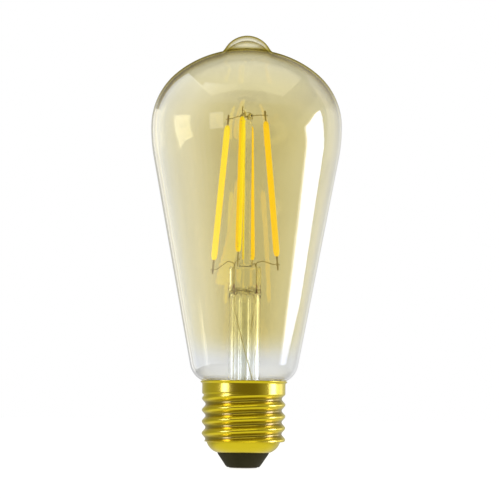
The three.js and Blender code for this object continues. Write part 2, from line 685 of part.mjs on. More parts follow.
// The wires cross the tabs on one side, where they are welded to them.
function makeFilamentWires({ name, turn, drop, entry, way, pad }, centre) {
  const side = TAB_THICKNESS / 2 + WIRE_RADIUS + FIT_GAP / 2;
  const half = FILAMENT_LENGTH / 2;
  const hookRadius = lineRadius(half + HOOK_HEIGHT);
  const hookHeight = centre + half + HOOK_HEIGHT;
  const hook = [
    beside(turn, BEAD_RADIUS * 0.5, 0, BEAD_CENTRE),
    beside(turn, BEAD_RADIUS + 0.4, 0, BEAD_CENTRE),
    beside(turn, hookRadius - LEAD_STRAIGHT, side, hookHeight),
    beside(turn, hookRadius + WIRE_BEYOND_TAB, side, hookHeight),
  ];
  add(lamp, `top_wire_${name}`, wire(hook), NICKEL());

  const leadRadius = lineRadius(-half - drop);
  const leadHeight = centre - half - drop;
  const lead = [
    beside(turn, leadRadius + WIRE_BEYOND_TAB, side, leadHeight),
    beside(turn, leadRadius - LEAD_STRAIGHT, side, leadHeight),
    beside(entry, LEAD_RADIUS, 0, PRESS_TOP + LEAD_RISE),
    beside(entry, LEAD_RADIUS, 0, PRESS_BOTTOM - BORE_RADIUS),
    ...way.map(([wayTurn, height]) => beside(wayTurn, LEAD_RADIUS, 0, height)),
    beside(pad, PAD_RADIUS, 0, NECK_BOTTOM),
    beside(pad, PAD_RADIUS, 0, BOARD_TOP + FIT_GAP / 2),
  ];
  add(lamp, `lead_wire_${name}`, wire(lead), NICKEL());
}

function makeFilaments() {
  for (const filament of FILAMENTS) {
    const centre = FILAMENT_CENTRE + filament.lift;
    const frame = filamentFrame(filament.turn, centre);
    lamp.add(frame);
    makeCoat(frame, filament.name);
    makeStrip(frame, filament.name);
    makeTabs(frame, filament.name);
    makeFilamentWires(filament, centre);
  }
}

// ---- Driver in the cap ----------------------------------------------------------------------

function makeBoard() {
  add(lamp, "driver_board", rod(BOARD_RADIUS, BOARD_BOTTOM, BOARD_TOP, 32), BOARD());
  const liner = ring(LINER_INNER_RADIUS, LINER_RADIUS, FLANGE_TOP, BOARD_BOTTOM, 32);
  add(lamp, "driver_liner", liner, LINER());
  const contactWire = [
    new THREE.Vector3(0, 0, BOARD_BOTTOM - FIT_GAP / 2),
    new THREE.Vector3(0, 0, CONTACT_PROUD + BARREL_BORE + SOLID_GAP),
  ];
  add(lamp, "contact_wire", wire(contactWire), COPPER());
  const gap = NECK_RADIUS + NECK_GAP / 2;
  const headroom = NECK_BOTTOM - FLANGE_THICKNESS - BOARD_TOP;
  const shellWire = [
    new THREE.Vector3(0, BOARD_RADIUS - 1, BOARD_TOP + FIT_GAP / 2),
    new THREE.Vector3(0, BOARD_RADIUS - 1, BOARD_TOP + headroom / 4),
    new THREE.Vector3(0, gap, BOARD_TOP + headroom / 2),
    new THREE.Vector3(0, gap, SKIRT_BOTTOM - SOLID_GAP),
  ];
  add(lamp, "shell_wire", wire(shellWire, 0.2), COPPER());
}

function makePowerParts() {
  const under = BOARD_BOTTOM - FIT_GAP;
  const capacitor = rod(CAPACITOR_RADIUS, -CAPACITOR_LENGTH / 2, CAPACITOR_LENGTH / 2, SMALL_SEGMENTS);
  capacitor.rotateY(Math.PI / 2);
  const reach = LINER_INNER_RADIUS - SOLID_GAP;
  const capacitorEdge = chord(reach, CAPACITOR_LENGTH / 2);
  capacitor.translate(0, capacitorEdge - CAPACITOR_RADIUS, under - CAPACITOR_RADIUS);
  add(lamp, "bulk_capacitor", capacitor, CAPACITOR_SLEEVE());

  const low = under - INDUCTOR_HEIGHT;
  const waist = INDUCTOR_RADIUS * 0.45;
  const disc = 0.6;
  const core = [
    at(0, low),
    at(INDUCTOR_RADIUS, low),
    at(INDUCTOR_RADIUS, low + disc),
    at(waist, low + disc),
    at(waist, under - disc),
    at(INDUCTOR_RADIUS, under - disc),
    at(INDUCTOR_RADIUS, under),
    at(0, under),
  ];
  const place = beside(INDUCTOR_TURN, reach - INDUCTOR_RADIUS, 0, 0);
  add(lamp, "inductor_core", turned(core, SMALL_SEGMENTS), FERRITE()).position.copy(place);
  const coilRadius = INDUCTOR_RADIUS - SOLID_GAP;
  const coilBottom = low + disc + FIT_GAP;
  const winding = ring(waist + FIT_GAP, coilRadius, coilBottom, under - disc - FIT_GAP, SMALL_SEGMENTS);
  add(lamp, "inductor_winding", winding, COPPER()).position.copy(place);

  const { width, depth, height, middle } = RECTIFIER;
  const rectifier = box(width, depth, height);
  const rectifierEdge = chord(reach, Math.abs(middle) + depth / 2);
  rectifier.translate(rectifierEdge - width / 2, middle, under - height / 2);
  add(lamp, "bridge_rectifier", rectifier, BLACK_PLASTIC());

  const resistor = rod(RESISTOR_RADIUS, -RESISTOR_LENGTH / 2, RESISTOR_LENGTH / 2, SMALL_SEGMENTS);
  resistor.rotateY(Math.PI / 2);
  resistor.translate(0, RESISTOR_RADIUS - chord(reach, RESISTOR_LENGTH / 2), under - RESISTOR_RADIUS);
  add(lamp, "fusible_resistor", resistor, RESISTOR());
}

// The radio module and the driver chip lie on the upper face of the board.
function makeControlParts() {
  const reach = BOARD_RADIUS - SOLID_GAP;
  const radioTop = BOARD_TOP + RADIO_BOARD_SIZE.height;
  const radioMiddle = chord(reach, RADIO_BOARD_SIZE.width / 2) - RADIO_BOARD_SIZE.depth / 2;
  const lay = (name, { width, depth, height, middle = 0 }, y, bottom, finish) => {
    add(lamp, name, box(width, depth, height).translate(middle, y, bottom + height / 2), finish);
  };
  lay("radio_board", RADIO_BOARD_SIZE, radioMiddle, BOARD_TOP, RADIO_BOARD());
  lay("radio_shield", RADIO_SHIELD_SIZE, radioMiddle, radioTop, SHIELD());
  lay("radio_antenna", ANTENNA_SIZE, radioMiddle, radioTop, CERAMIC());
  const chipMiddle = CHIP_SIZE.depth / 2 - chord(reach, CHIP_SIZE.width / 2);
  lay("driver_chip", CHIP_SIZE, chipMiddle, BOARD_TOP, BLACK_PLASTIC());
}

makeEnvelope();
makeShell();
makeCapEnds();
makeCement();
makeStem();
makeFilaments();
makeBoard();
makePowerParts();
makeControlParts();

export default lamp;
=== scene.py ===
"""Looks of an amber filament lamp with its driver in the screw cap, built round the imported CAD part."""

import logging
import math
from dataclasses import dataclass, field
from enum import Enum
from typing import Sequence

import bpy
from mathutils import Matrix, Vector, noise


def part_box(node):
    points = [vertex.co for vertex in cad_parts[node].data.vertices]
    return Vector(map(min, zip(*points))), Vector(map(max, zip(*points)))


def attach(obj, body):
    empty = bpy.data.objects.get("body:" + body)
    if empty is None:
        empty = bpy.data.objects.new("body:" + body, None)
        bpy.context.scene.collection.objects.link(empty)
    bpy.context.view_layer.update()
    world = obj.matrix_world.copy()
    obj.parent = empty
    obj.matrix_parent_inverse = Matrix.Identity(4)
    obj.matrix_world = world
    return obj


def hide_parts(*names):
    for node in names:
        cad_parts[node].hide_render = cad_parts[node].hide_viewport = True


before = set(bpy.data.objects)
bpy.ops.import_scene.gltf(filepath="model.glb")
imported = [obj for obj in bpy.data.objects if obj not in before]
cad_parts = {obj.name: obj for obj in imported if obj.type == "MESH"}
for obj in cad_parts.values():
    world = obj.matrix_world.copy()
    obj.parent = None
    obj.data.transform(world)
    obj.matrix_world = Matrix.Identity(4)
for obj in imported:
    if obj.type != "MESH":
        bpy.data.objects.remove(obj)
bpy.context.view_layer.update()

MM = 0.001
BODY = "root"
SHARP_ANGLE = math.radians(38)
BEND_STEPS = 7
COIL_STEPS = 28
COIL_SIDES = 8
BEAD_LEVELS = 3
THREAD_START = 0.1 * MM
SKIRT_RISE = 1.1 * MM

Point = tuple[float, float]
Colour = tuple[float, float, float, float]
Faces = list[tuple[int, ...]]
Shape = tuple[Sequence[Vector], Faces]
Stretch = tuple[float, float, float]
EVEN: Stretch = (1, 1, 1)
WHITE: Colour = (1, 1, 1, 1)

log = logging.getLogger("lamp")


def grey(level: float) -> Colour:
    """A neutral colour."""
    return level, level, level, 1


# ---- Node trees ------------------------------------------------------------------------------


class Signal:
    """A socket of a node tree that takes part in Python arithmetic."""

    def __init__(self, board: "Board", socket: bpy.types.NodeSocket) -> None:
        """Wraps a socket.

        Args:
            board: the board that the socket's node stands on.
            socket: an output socket.
        """
        self.board = board
        self.socket = socket

    def _math(self, operation: str, *values: "Signal | float") -> "Signal":
        """What a Math node makes of the values, in order."""
        sockets = dict(enumerate(values))
        return self.board.add("ShaderNodeMath", {"operation": operation}, sockets)["Value"]

    def __add__(self, other: "Signal | float") -> "Signal":
        """Sum."""
        return self._math("ADD", self, other)

    def __radd__(self, other: float) -> "Signal":
        """Sum with a number on the left."""
        return self._math("ADD", other, self)

    def __sub__(self, other: "Signal | float") -> "Signal":
        """Difference."""
        return self._math("SUBTRACT", self, other)

    def __rsub__(self, other: float) -> "Signal":
        """Difference with a number on the left."""
        return self._math("SUBTRACT", other, self)

    def __mul__(self, other: "Signal | float") -> "Signal":
        """Product."""
        return self._math("MULTIPLY", self, other)

    def __rmul__(self, other: float) -> "Signal":
        """Product with a number on the left."""
        return self._math("MULTIPLY", other, self)

    def __truediv__(self, other: "Signal | float") -> "Signal":
        """Quotient."""
        return self._math("DIVIDE", self, other)

    def __rtruediv__(self, other: float) -> "Signal":
        """Quotient with a number on the left."""
        return self._math("DIVIDE", other, self)

    def __pow__(self, other: "Signal | float") -> "Signal":
        """Power."""
        return self._math("POWER", self, other)

    def least(self, other: "Signal | float") -> "Signal":
        """The smaller of the two."""
        return self._math("MINIMUM", self, other)

    def most(self, other: "Signal | float") -> "Signal":
        """The larger of the two."""
        return self._math("MAXIMUM", self, other)

    def cosine(self) -> "Signal":
        """Cosine of an angle in radians."""
        return self._math("COSINE", self)

    def angle_to(self, other: "Signal") -> "Signal":
        """Angle of the vector (other, self)."""
        return self._math("ARCTAN2", self, other)

    def step(self, low: "Signal | float", high: "Signal | float") -> "Signal":
        """Rises smoothly from 0 to 1.

        Args:
            low: where it starts to rise.
            high: where it is 1.

        Returns:
            The risen value.
        """
        inputs = {"Value": self, "From Min": low, "From Max": high}
        settings = {"interpolation_type": "SMOOTHSTEP"}
        return self.board.add("ShaderNodeMapRange", settings, inputs)["Result"]


class Placed:
    """A node on a board, whose outputs are signals."""

    def __init__(self, board: "Board", node: bpy.types.Node) -> None:
        """Wraps a node.

        Args:
            board: the board it stands on.
            node: the node.
        """
        self.board = board
        self.node = node

    def __getitem__(self, key: "str | int") -> Signal:
        """The output with a name or number."""
        return Signal(self.board, self.node.outputs[key])


@dataclass
class Board:
    """A node tree that nodes are added to, for a material, the world or a geometry rule."""

    tree: bpy.types.NodeTree

    def add(self, kind: str, settings: dict | None = None, sockets: dict | None = None) -> Placed:
        """Adds a node, sets it up and joins its inputs.

        Args:
            kind: the node's type.
            settings: its properties; "stops" fills a colour ramp.
            sockets: input name or number, with a signal or a plain value.

        Returns:
            The node.
        """
        node = self.tree.nodes.new(kind)
        for name, value in (settings or {}).items():
            if name == "stops":
                self._fill_ramp(node.color_ramp, value)
            else:
                setattr(node, name, value)
        for key, value in (sockets or {}).items():
            if isinstance(value, Signal):
                self.tree.links.new(value.socket, node.inputs[key])
            else:
                node.inputs[key].default_value = value
        return Placed(self, node)

    @staticmethod
    def _fill_ramp(ramp: bpy.types.ColorRamp, stops: Sequence[tuple[float, Colour]]) -> None:
        """Gives a ramp its stops.

        Args:
            ramp: the ramp.
            stops: positions and colours, from 0 to 1.
        """
        while len(ramp.elements) < len(stops):
            ramp.elements.new(1.0)
        for element, (position, colour) in zip(ramp.elements, stops):
            element.position = position
            element.color = colour

    def mix(self, share: "Signal | float", first: "Signal | Colour", second: "Signal | Colour") -> Signal:
        """A colour mixed from two, where the share is how much of the second."""
        return self.add("ShaderNodeMix", {"data_type": "RGBA"}, {0: share, 6: first, 7: second})[2]

    def blend(self, share: "Signal | float", first: Signal, second: Signal) -> Signal:
        """A shader mixed from two, where the share is how much of the second."""
        return self.add("ShaderNodeMixShader", {}, {0: share, 1: first, 2: second})[0]

    def place(self) -> Signal:
        """The point on the piece, in metres."""
        return self.add("ShaderNodeTexCoord")["Object"]

    def parts(self, vector: Signal) -> tuple[Signal, Signal, Signal]:
        """X, Y and Z of a vector."""
        node = self.add("ShaderNodeSeparateXYZ", {}, {0: vector})
        return node[0], node[1], node[2]

    def noise(self, scale: float, stretch: Stretch = EVEN, detail: float = 3.0) -> Signal:
        """Noise on the object's own coordinates.

        Args:
            scale: lumps per metre.
            stretch: factor along each axis, where a small one draws the lumps out.
            detail: finer layers.

        Returns:
            A value about 0.5.
        """
        scaled = self.add("ShaderNodeVectorMath", {"operation": "MULTIPLY"}, {0: self.place(), 1: stretch})
        sockets = {"Vector": scaled["Vector"], "Scale": scale, "Detail": detail}
        return self.add("ShaderNodeTexNoise", {}, sockets)[0]

    def bump(self, height: Signal, strength: float, distance: float) -> Signal:
        """The normal of a height from 0 to 1, where the distance is what 1 stands for, in metres."""
        sockets = {"Height": height, "Strength": strength, "Distance": distance}
        return self.add("ShaderNodeBump", {}, sockets)["Normal"]

    def principled(self, **sockets: "Signal | float | Colour") -> Signal:
        """The main shader, with its inputs named with _ for a space."""
        named = {name.replace("_", " "): value for name, value in sockets.items()}
        return self.add("ShaderNodeBsdfPrincipled", {}, named)["BSDF"]


# ---- Finishes --------------------------------------------------------------------------------


@dataclass(frozen=True)
class Finish:
    """A finish with one material, which is made when it is first asked for."""

    name: str
    slot: str

    def material(self) -> bpy.types.Material:
        """The material, made once."""
        made = bpy.data.materials.get(self.name)
        if made is None:
            made = bpy.data.materials.new(self.name)
            made.use_nodes = True
            made.node_tree.nodes.clear()
            board = Board(made.node_tree)
            board.add("ShaderNodeOutputMaterial", {}, {"Surface": self.surface(board)})
        return made

    def surface(self, board: Board) -> Signal:
        """Builds the shader.

        Args:
            board: the material's board.

        Returns:
            The shader.
        """
        raise NotImplementedError


@dataclass(frozen=True)
class AmberGlass(Finish):
    """Thin blown glass under an amber coating that fades out above the cap, with a painted dark edge shade
    on the crown.
    """

    name: str = "amber_glass"
    slot: str = "envelope_glass"
    clear: Colour = (0.978, 0.980, 0.972, 1)
    smoke: Colour = (0.938, 0.941, 0.936, 1)
    amber: Colour = (0.86, 0.74, 0.16, 1)
    coating: float = 0.33
    edge_coating: float = 0.03
    side_loss: float = 0.8
    crown_low: float = 108 * MM
    crown_high: float = 126 * MM
    crown_loss: float = 0.42
    fade_low: float = 33 * MM
    fade_high: float = 44 * MM
    mirror: float = 0.05
    lustre: float = 0.085
    sharpness: float = 3.2
    # Colour of the painted dark edge shade on the crown. The sizes below set where that painted shade lies.
    painted_edge_shade: Colour = (0.45, 0.38, 0.02, 1)
    edge_shade_film: float = 0.62
    edge_shade_start: float = 0.62
    edge_shade_end: float = 0.95
    tip_low: float = 131 * MM
    tip_high: float = 133 * MM
    tip_edge_shade: float = 0.14
    tip_softness: float = 0.8

    def surface(self, board: Board) -> Signal:
        """Clear and amber film under a mirror that grows towards the edges, with a painted dark edge shade
        on the crown.

        Args:
            board: the material's board.

        Returns:
            The shader.
        """
        height = board.parts(board.place())[2]
        density = height.step(self.fade_low, self.fade_high)
        density = density * (1 - self.crown_loss * height.step(self.crown_low, self.crown_high))
        mottle = 0.94 + 0.12 * board.noise(45, (1, 1, 0.6), 2)
        aside = board.add("ShaderNodeLayerWeight", {}, {"Blend": 0.5})["Facing"]
        path = 1 + self.edge_coating / ((1 - aside) ** 2).most(0.01)
        side = (1 - self.side_loss * aside).most(0.3)
        tip = height.step(self.tip_low, self.tip_high)
        # Painted shade: a dark olive line along the crown's edges, made from more amber film and a darker
        # mirror.
        painted_edge_shade = aside.step(self.edge_shade_start - self.tip_edge_shade * tip, self.edge_shade_end - self.tip_edge_shade * tip)
        painted_edge_shade = painted_edge_shade * height.step(self.crown_low, self.crown_high)
        share = (self.coating * density * mottle * path * side + self.edge_shade_film * painted_edge_shade).least(0.9)
        smoke, clear, amber = (
            board.add("ShaderNodeBsdfTransparent", {}, {"Color": colour})[0]
            for colour in (self.smoke, self.clear, self.amber)
        )
        film = board.blend(share, board.blend(density, smoke, clear), amber)
        wavy = board.bump(board.noise(60, (1, 1, 0.35), 1), 0.05, 0.4 * MM)
        # The olive mirror carries the painted edge shade.
        plain, painted_shade_gloss = (
            board.add("ShaderNodeBsdfAnisotropic", {}, {"Color": tone, "Roughness": 0.0, "Normal": wavy})[0]
            for tone in (WHITE, self.painted_edge_shade)
        )
        gloss = board.blend(painted_edge_shade, plain, painted_shade_gloss)
        straight = self.mirror + self.lustre * density
        edge = straight + (1 - straight) * aside ** (self.sharpness - self.tip_softness * tip)
        return board.blend(edge, film, gloss)


@dataclass(frozen=True)
class DrawnGlass(Finish):
    """Clear drawn glass with faint lines along its length."""

    name: str = "drawn_glass"
    slot: str = "stem_glass"
    tint: Colour = (0.975, 0.985, 0.97, 1)
    stain: Colour = (0.42, 0.38, 0.16, 1)
    seal_low: float = 54.0 * MM
    seal_high: float = 57.6 * MM
    fade: float = 1.6 * MM
    lines: float = 0.0015

    def surface(self, board: Board) -> Signal:
        """Refracting glass with a drawn, slightly wavy skin.

        Args:
            board: the material's board.

        Returns:
            The shader.
        """
        drawn = board.noise(420, (1, 1, 0.06), 2)
        wavy = board.noise(160, (1, 1, 0.5), 1)
        normal = board.bump(drawn * 0.5 + wavy * 0.5, self.lines, 0.5 * MM)
        height = board.parts(board.place())[2]
        sealed = height.step(self.seal_low, self.seal_low + self.fade)
        sealed = sealed * (1 - height.step(self.seal_high - self.fade, self.seal_high))
        spots = board.noise(620, (1, 1, 1.6), 2).step(0.46, 0.62)
        return board.principled(
            Base_Color=board.mix(sealed * spots, self.tint, self.stain),
            Roughness=0.0,
            IOR=1.5,
            Transmission_Weight=1.0,
            Normal=normal,
        )


@dataclass(frozen=True)
class Phosphor(Finish):
    """Phosphor silicone, yellow over the chips, with painted shade that makes it more orange behind the
    strip, and a painted glow.
    """

    name: str = "phosphor_silicone"
    slot: str = "phosphor"
    yellow: Colour = (1.0, 0.84, 0.0, 1)
    painted_shade_orange: Colour = (1.0, 0.68, 0.0, 1)
    painted_glow: float = 0.86
    side: str = "chip_side"

    def surface(self, board: Board) -> Signal:
        """Satin silicone with a little painted glow.

        Args:
            board: the material's board.

        Returns:
            The shader.
        """
        toward = board.add("ShaderNodeAttribute", {"attribute_name": self.side})["Fac"]
        grain = board.noise(2600, EVEN, 2)
        # Painted shade: the side away from the chips is made more orange.
        share = (toward + 0.22 * (grain - 0.5)).step(-0.25, 0.3)
        colour = board.mix(share, self.painted_shade_orange, self.yellow)
        lumps = board.noise(700, (1, 1, 0.35), 3)
        return board.principled(
            Base_Color=colour,
            Roughness=0.38 + 0.2 * grain,
            Coat_Weight=0.25,
            Coat_Roughness=0.2,
            # Painted glow: the silicone is made to shine by itself.
            Emission_Color=colour,
            Emission_Strength=self.painted_glow,
            Normal=board.bump(lumps, 0.35, 0.12 * MM),
        )


@dataclass(frozen=True)
class Brass(Finish):
    """Bright rolled brass, with painted shade in the roots of the thread."""

    name: str = "rolled_brass"
    slot: str = "cap_brass"
    gold: Colour = (0.97, 0.80, 0.016, 1)
    dark_tone_and_root_shade: Colour = (0.21, 0.14, 0.010, 1)
    root: float = 12.1 * MM
    crest: float = 12.8 * MM
    thread_low: float = 8.2 * MM

    def surface(self, board: Board) -> Signal:
        """Polished metal with lines round it from rolling, and painted shade in the thread's roots.

        Args:
            board: the material's board.

        Returns:
            The shader.
        """
        x, y, height = board.parts(board.place())
        radius = (x * x + y * y) ** 0.5
        toward_crest = radius.step(self.root, self.crest)
        cloud = board.noise(170, (1, 1, 2.2), 4)
        threaded = height.step(self.thread_low, self.thread_low + 0.5 * MM)
        # Painted shade darkens the thread's roots, and the noise also darkens the brass at random.
        share = (0.62 * (1 - toward_crest) * threaded + 0.3 * (cloud - 0.45)).most(0.0)
        lines = board.noise(900, (0.06, 0.06, 5.0), 3)
        return board.principled(
            Base_Color=board.mix(share, self.gold, self.dark_tone_and_root_shade),
            Metallic=1.0,
            Roughness=0.20 + 0.1 * cloud,
            Coat_Weight=0.35,
            Coat_Roughness=0.22,
            Normal=board.bump(lines, 0.06, 0.012 * MM),
        )


@dataclass(frozen=True)
class Metal(Finish):
    """Plain drawn, plated or pressed metal with a clouded skin."""

    bright: Colour = (0.6, 0.6, 0.58, 1)
    dull: Colour = (0.35, 0.34, 0.3, 1)
    roughness: float = 0.3
    scale: float = 900.0
    stretch: Stretch = (1, 1, 0.2)

    def colour(self, board: Board) -> Signal:
        """Its colour, clouded from bright to dull."""
        cloud = board.noise(self.scale * 0.3, EVEN, 3)
        return board.mix(cloud.step(0.35, 0.7), self.bright, self.dull)

    def surface(self, board: Board) -> Signal:
        """Metal with drawing marks.

        Args:
            board: the material's board.

        Returns:
            The shader.
        """
        marks = board.noise(self.scale, self.stretch, 3)
        return board.principled(
            Base_Color=self.colour(board),
            Metallic=0.55,
            Roughness=self.roughness * 0.7 + self.roughness * 0.6 * marks,
            Normal=board.bump(marks, 0.25, 0.03 * MM),
        )


@dataclass(frozen=True)
class SealedWire(Metal):
    """Lead wire: nickel, with a copper-red sleeve where it is sealed in the glass."""

    seal: Colour = (0.36, 0.19, 0.09, 1)
    seal_low: float = 54.0 * MM
    seal_high: float = 58.0 * MM
    fade: float = 0.4 * MM

    def colour(self, board: Board) -> Signal:
        """The wire's colour, which changes along its height.

        Args:
            board: the material's board.

        Returns:
            The colour.
        """
        height = board.parts(board.place())[2]
        inside = height.step(self.seal_low, self.seal_low + self.fade)
        inside = inside * (1 - height.step(self.seal_high - self.fade, self.seal_high))
        return board.mix(inside, super().colour(board), self.seal)


@dataclass(frozen=True)
class Moulded(Finish):
    """Moulded, fired, painted or cast material with a fine grain."""

    base: Colour = (0.8, 0.8, 0.8, 1)
    fleck: Colour = (0.7, 0.7, 0.7, 1)
    roughness: float = 0.5
    scale: float = 900.0
    spread: float = 0.5
    grain_depth: float = 0.03 * MM
    coat: float = 0.0
    gloss: float = 0.5
    stretch: Stretch = EVEN

    def surface(self, board: Board) -> Signal:
        """A dielectric with flecks and grain.

        Args:
            board: the material's board.

        Returns:
            The shader.
        """
        fleck = board.noise(self.scale * 0.35, self.stretch, 4)
        grain = board.noise(self.scale, self.stretch, 4)
        share = fleck.step(0.5 - self.spread / 2, 0.5 + self.spread / 2)
        return board.principled(
            Base_Color=board.mix(share, self.base, self.fleck),
            Roughness=self.roughness * 0.8 + self.roughness * 0.4 * grain,
            Specular_IOR_Level=self.gloss,
            Coat_Weight=self.coat,
            Coat_Roughness=0.15,
            Normal=board.bump(grain, 0.5, self.grain_depth),
        )


@dataclass(frozen=True)
class PaleFloor(Finish):
    """Plain pale studio floor."""

    name: str = "pale_floor"
    slot: str = ""
    base: Colour = (0.45, 0.45, 0.45, 1)
    light: float = 0.92

    def surface(self, board: Board) -> Signal:
        """A matt floor that is lit from within, so that it stays even.

        Args:
            board: the material's board.

        Returns:
            The shader.
        """
        return board.principled(
            Base_Color=self.base, Roughness=0.8, Emission_Color=WHITE, Emission_Strength=self.light
        )


AMBER_GLASS = AmberGlass()
DRAWN_GLASS = DrawnGlass()
PHOSPHOR = Phosphor()
BRASS = Brass()
# Nickel colours, lightened and tinted yellow as a painted reflection of the lamp's insides.
NICKEL_AND_PAINTED_REFLECTION, DULL_NICKEL_AND_PAINTED_REFLECTION = (0.96, 0.86, 0.42, 1), (0.66, 0.57, 0.20, 1)
NICKEL = Metal("drawn_nickel", "nickel", NICKEL_AND_PAINTED_REFLECTION, DULL_NICKEL_AND_PAINTED_REFLECTION, 0.34)
LEAD = SealedWire("sealed_lead", "nickel", NICKEL_AND_PAINTED_REFLECTION, DULL_NICKEL_AND_PAINTED_REFLECTION, 0.34)
TINNED = Metal("tinned_contact", "contact_metal", (0.4, 0.37, 0.3, 1), (0.22, 0.2, 0.15, 1), 0.4, 500, EVEN)
COPPER = Metal("enamelled_copper", "copper", (0.72, 0.33, 0.14, 1), (0.5, 0.2, 0.08, 1), 0.28)
SHIELD_TIN = Metal("pressed_tinplate", "shield_metal", (0.7, 0.71, 0.72, 1), (0.55, 0.56, 0.57, 1))
VITRITE = Moulded(
    "black_vitrite",
    "black_insulator",
    (0.024, 0.022, 0.004, 1),
    (0.034, 0.03, 0.008, 1),
    scale=700,
    gloss=0.12,
)
CEMENT = Moulded(
    "baked_cement",
    "cement",
    (0.60, 0.55, 0.44, 1),
    (0.42, 0.37, 0.27, 1),
    0.92,
    1400,
    grain_depth=0.15 * MM,
)
CERAMIC = Moulded("strip_ceramic", "chip_strip", (0.85, 0.83, 0.74, 1), (0.75, 0.7, 0.55, 1), 0.45)
RESIST_WHITE = Moulded(
    "white_resist", "board_white", (0.8, 0.79, 0.74, 1), (0.7, 0.68, 0.62, 1), 0.4, 1200, coat=0.3
)
RESIST_GREEN = Moulded(
    "green_resist", "board_green", (0.012, 0.09, 0.04, 1), (0.02, 0.14, 0.06, 1), 0.4, 1200, coat=0.3
)
SLEEVE = Moulded("insulating_sleeve", "liner", (0.8, 0.78, 0.7, 1), (0.7, 0.68, 0.6, 1), 0.5, 800)
SHRINK = Moulded(
    "shrink_sleeve", "capacitor_sleeve", (0.012, 0.014, 0.02, 1), (0.02, 0.022, 0.03, 1), 0.35, coat=0.3
)
FERRITE = Moulded("fired_ferrite", "ferrite", (0.02, 0.02, 0.022, 1), (0.04, 0.04, 0.042, 1), 0.75, 1800)
EPOXY = Moulded("black_epoxy", "black_plastic", (0.01, 0.01, 0.01, 1), (0.022, 0.022, 0.022, 1), 0.55, 2200)
PAINTED = Moulded("painted_ceramic", "resistor_body", (0.14, 0.28, 0.34, 1), (0.2, 0.34, 0.4, 1), 0.45)
FIRED = Moulded("antenna_ceramic", "antenna_ceramic", (0.78, 0.7, 0.56, 1), (0.7, 0.62, 0.48, 1), 0.5)


# ---- Meshes ----------------------------------------------------------------------------------


def span(node: str) -> tuple[Vector, Vector]:
    """The box of a CAD node in millimetres.

    Args:
        node: the node's name.

    Returns:
        Its lowest and highest corner.
    """
    low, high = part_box(node)
    return Vector(low) / MM, Vector(high) / MM


def arc(centre: Point, radius: float, start: float, end: float, steps: int) -> list[Point]:
    """Points of an arc in a turned outline.

    Args:
        centre: its centre, as radius and height.
        radius: its radius.
        start: first angle in degrees.
        end: last angle in degrees.
        steps: number of parts.

    Returns:
        The points, both ends included.
    """
    angles = [math.radians(start + (end - start) * step / steps) for step in range(steps + 1)]
    return [(max(centre[0] + radius * math.cos(a), 0.0), centre[1] + radius * math.sin(a)) for a in angles]


def line(start: Point, end: Point, steps: int) -> list[Point]:
    """Points of a straight stretch.

    Args:
        start: first point.
        end: last point.
        steps: number of parts.

    Returns:
        The points, both ends included.
    """
    return [
        (start[0] + (end[0] - start[0]) * step / steps, start[1] + (end[1] - start[1]) * step / steps)
        for step in range(steps + 1)
    ]


def rise(value: float, low: float, high: float) -> float:
    """Rises smoothly from 0 at low to 1 at high."""
    part = min(max((value - low) / (high - low), 0.0), 1.0)
    return part * part * (3 - 2 * part)


def turn_outline(outline: Sequence[Point], segments: int) -> tuple[list[Vector], Faces]:
    """Turns an outline about the Z axis into a closed mesh.

    Args:
        outline: radius and height of each point. It starts and ends on the axis, or is a closed loop.
        segments: number of parts round the axis.

    Returns:
        Vertices in millimetres, and faces.
    """
    points: list[Vector] = []
    rings: list[list[int]] = []
    for radius, height in outline:
        if radius < 1e-6:
            rings.append([len(points)] * segments)
            points.append(Vector((0, 0, height)))
            continue
        rings.append(list(range(len(points), len(points) + segments)))
        for part in range(segments):
            angle = 2 * math.pi * part / segments
            points.append(Vector((radius * math.cos(angle), radius * math.sin(angle), height)))
    open_ends = outline[0][0] < 1e-6 and outline[-1][0] < 1e-6
    pairs = list(zip(rings, rings[1:])) + ([] if open_ends else [(rings[-1], rings[0])])
    faces: Faces = []
    for low, high in pairs:
        for part in range(segments):
            after = (part + 1) % segments
            corners = [low[part], low[after], high[after], high[part]]
            unique = tuple(dict.fromkeys(corners))
            if len(unique) > 2:
                faces.append(unique)
    return points, faces


def loft(sections: Sequence[Sequence[Vector]]) -> tuple[list[Vector], Faces]:
    """Joins closed sections of the same number of points into a closed mesh.

    Args:
        sections: rings of points; the first and last are capped with a fan.

    Returns:
        Vertices and faces.
    """
    count = len(sections[0])
    points = [point for section in sections for point in section]
    faces: Faces = []
    for level in range(len(sections) - 1):
        base = level * count
        for part in range(count):
            after = (part + 1) % count
            faces.append((base + part, base + after, base + count + after, base + count + part))
    for base, turned in ((0, True), ((len(sections) - 1) * count, False)):
        middle = len(points)
        points.append(sum((points[base + part] for part in range(count)), Vector()) / count)
        for part in range(count):
            edge = (base + part, base + (part + 1) % count)
            faces.append((middle, *(edge[::-1] if turned else edge)))
    return points, faces


def outward(points: Sequence[Vector], faces: Faces) -> Faces:
    """Turns all faces round if the mesh is inside out.

    Args:
        points: vertices of a closed mesh.
        faces: its faces.

    Returns:
        The faces, pointing outwards.
    """
    volume = 0.0
    for face in faces:
        first = points[face[0]]
        for second, third in zip(face[1:], face[2:]):
            volume += first.dot(points[second].cross(points[third]))
    return faces if volume > 0 else [face[::-1] for face in faces]


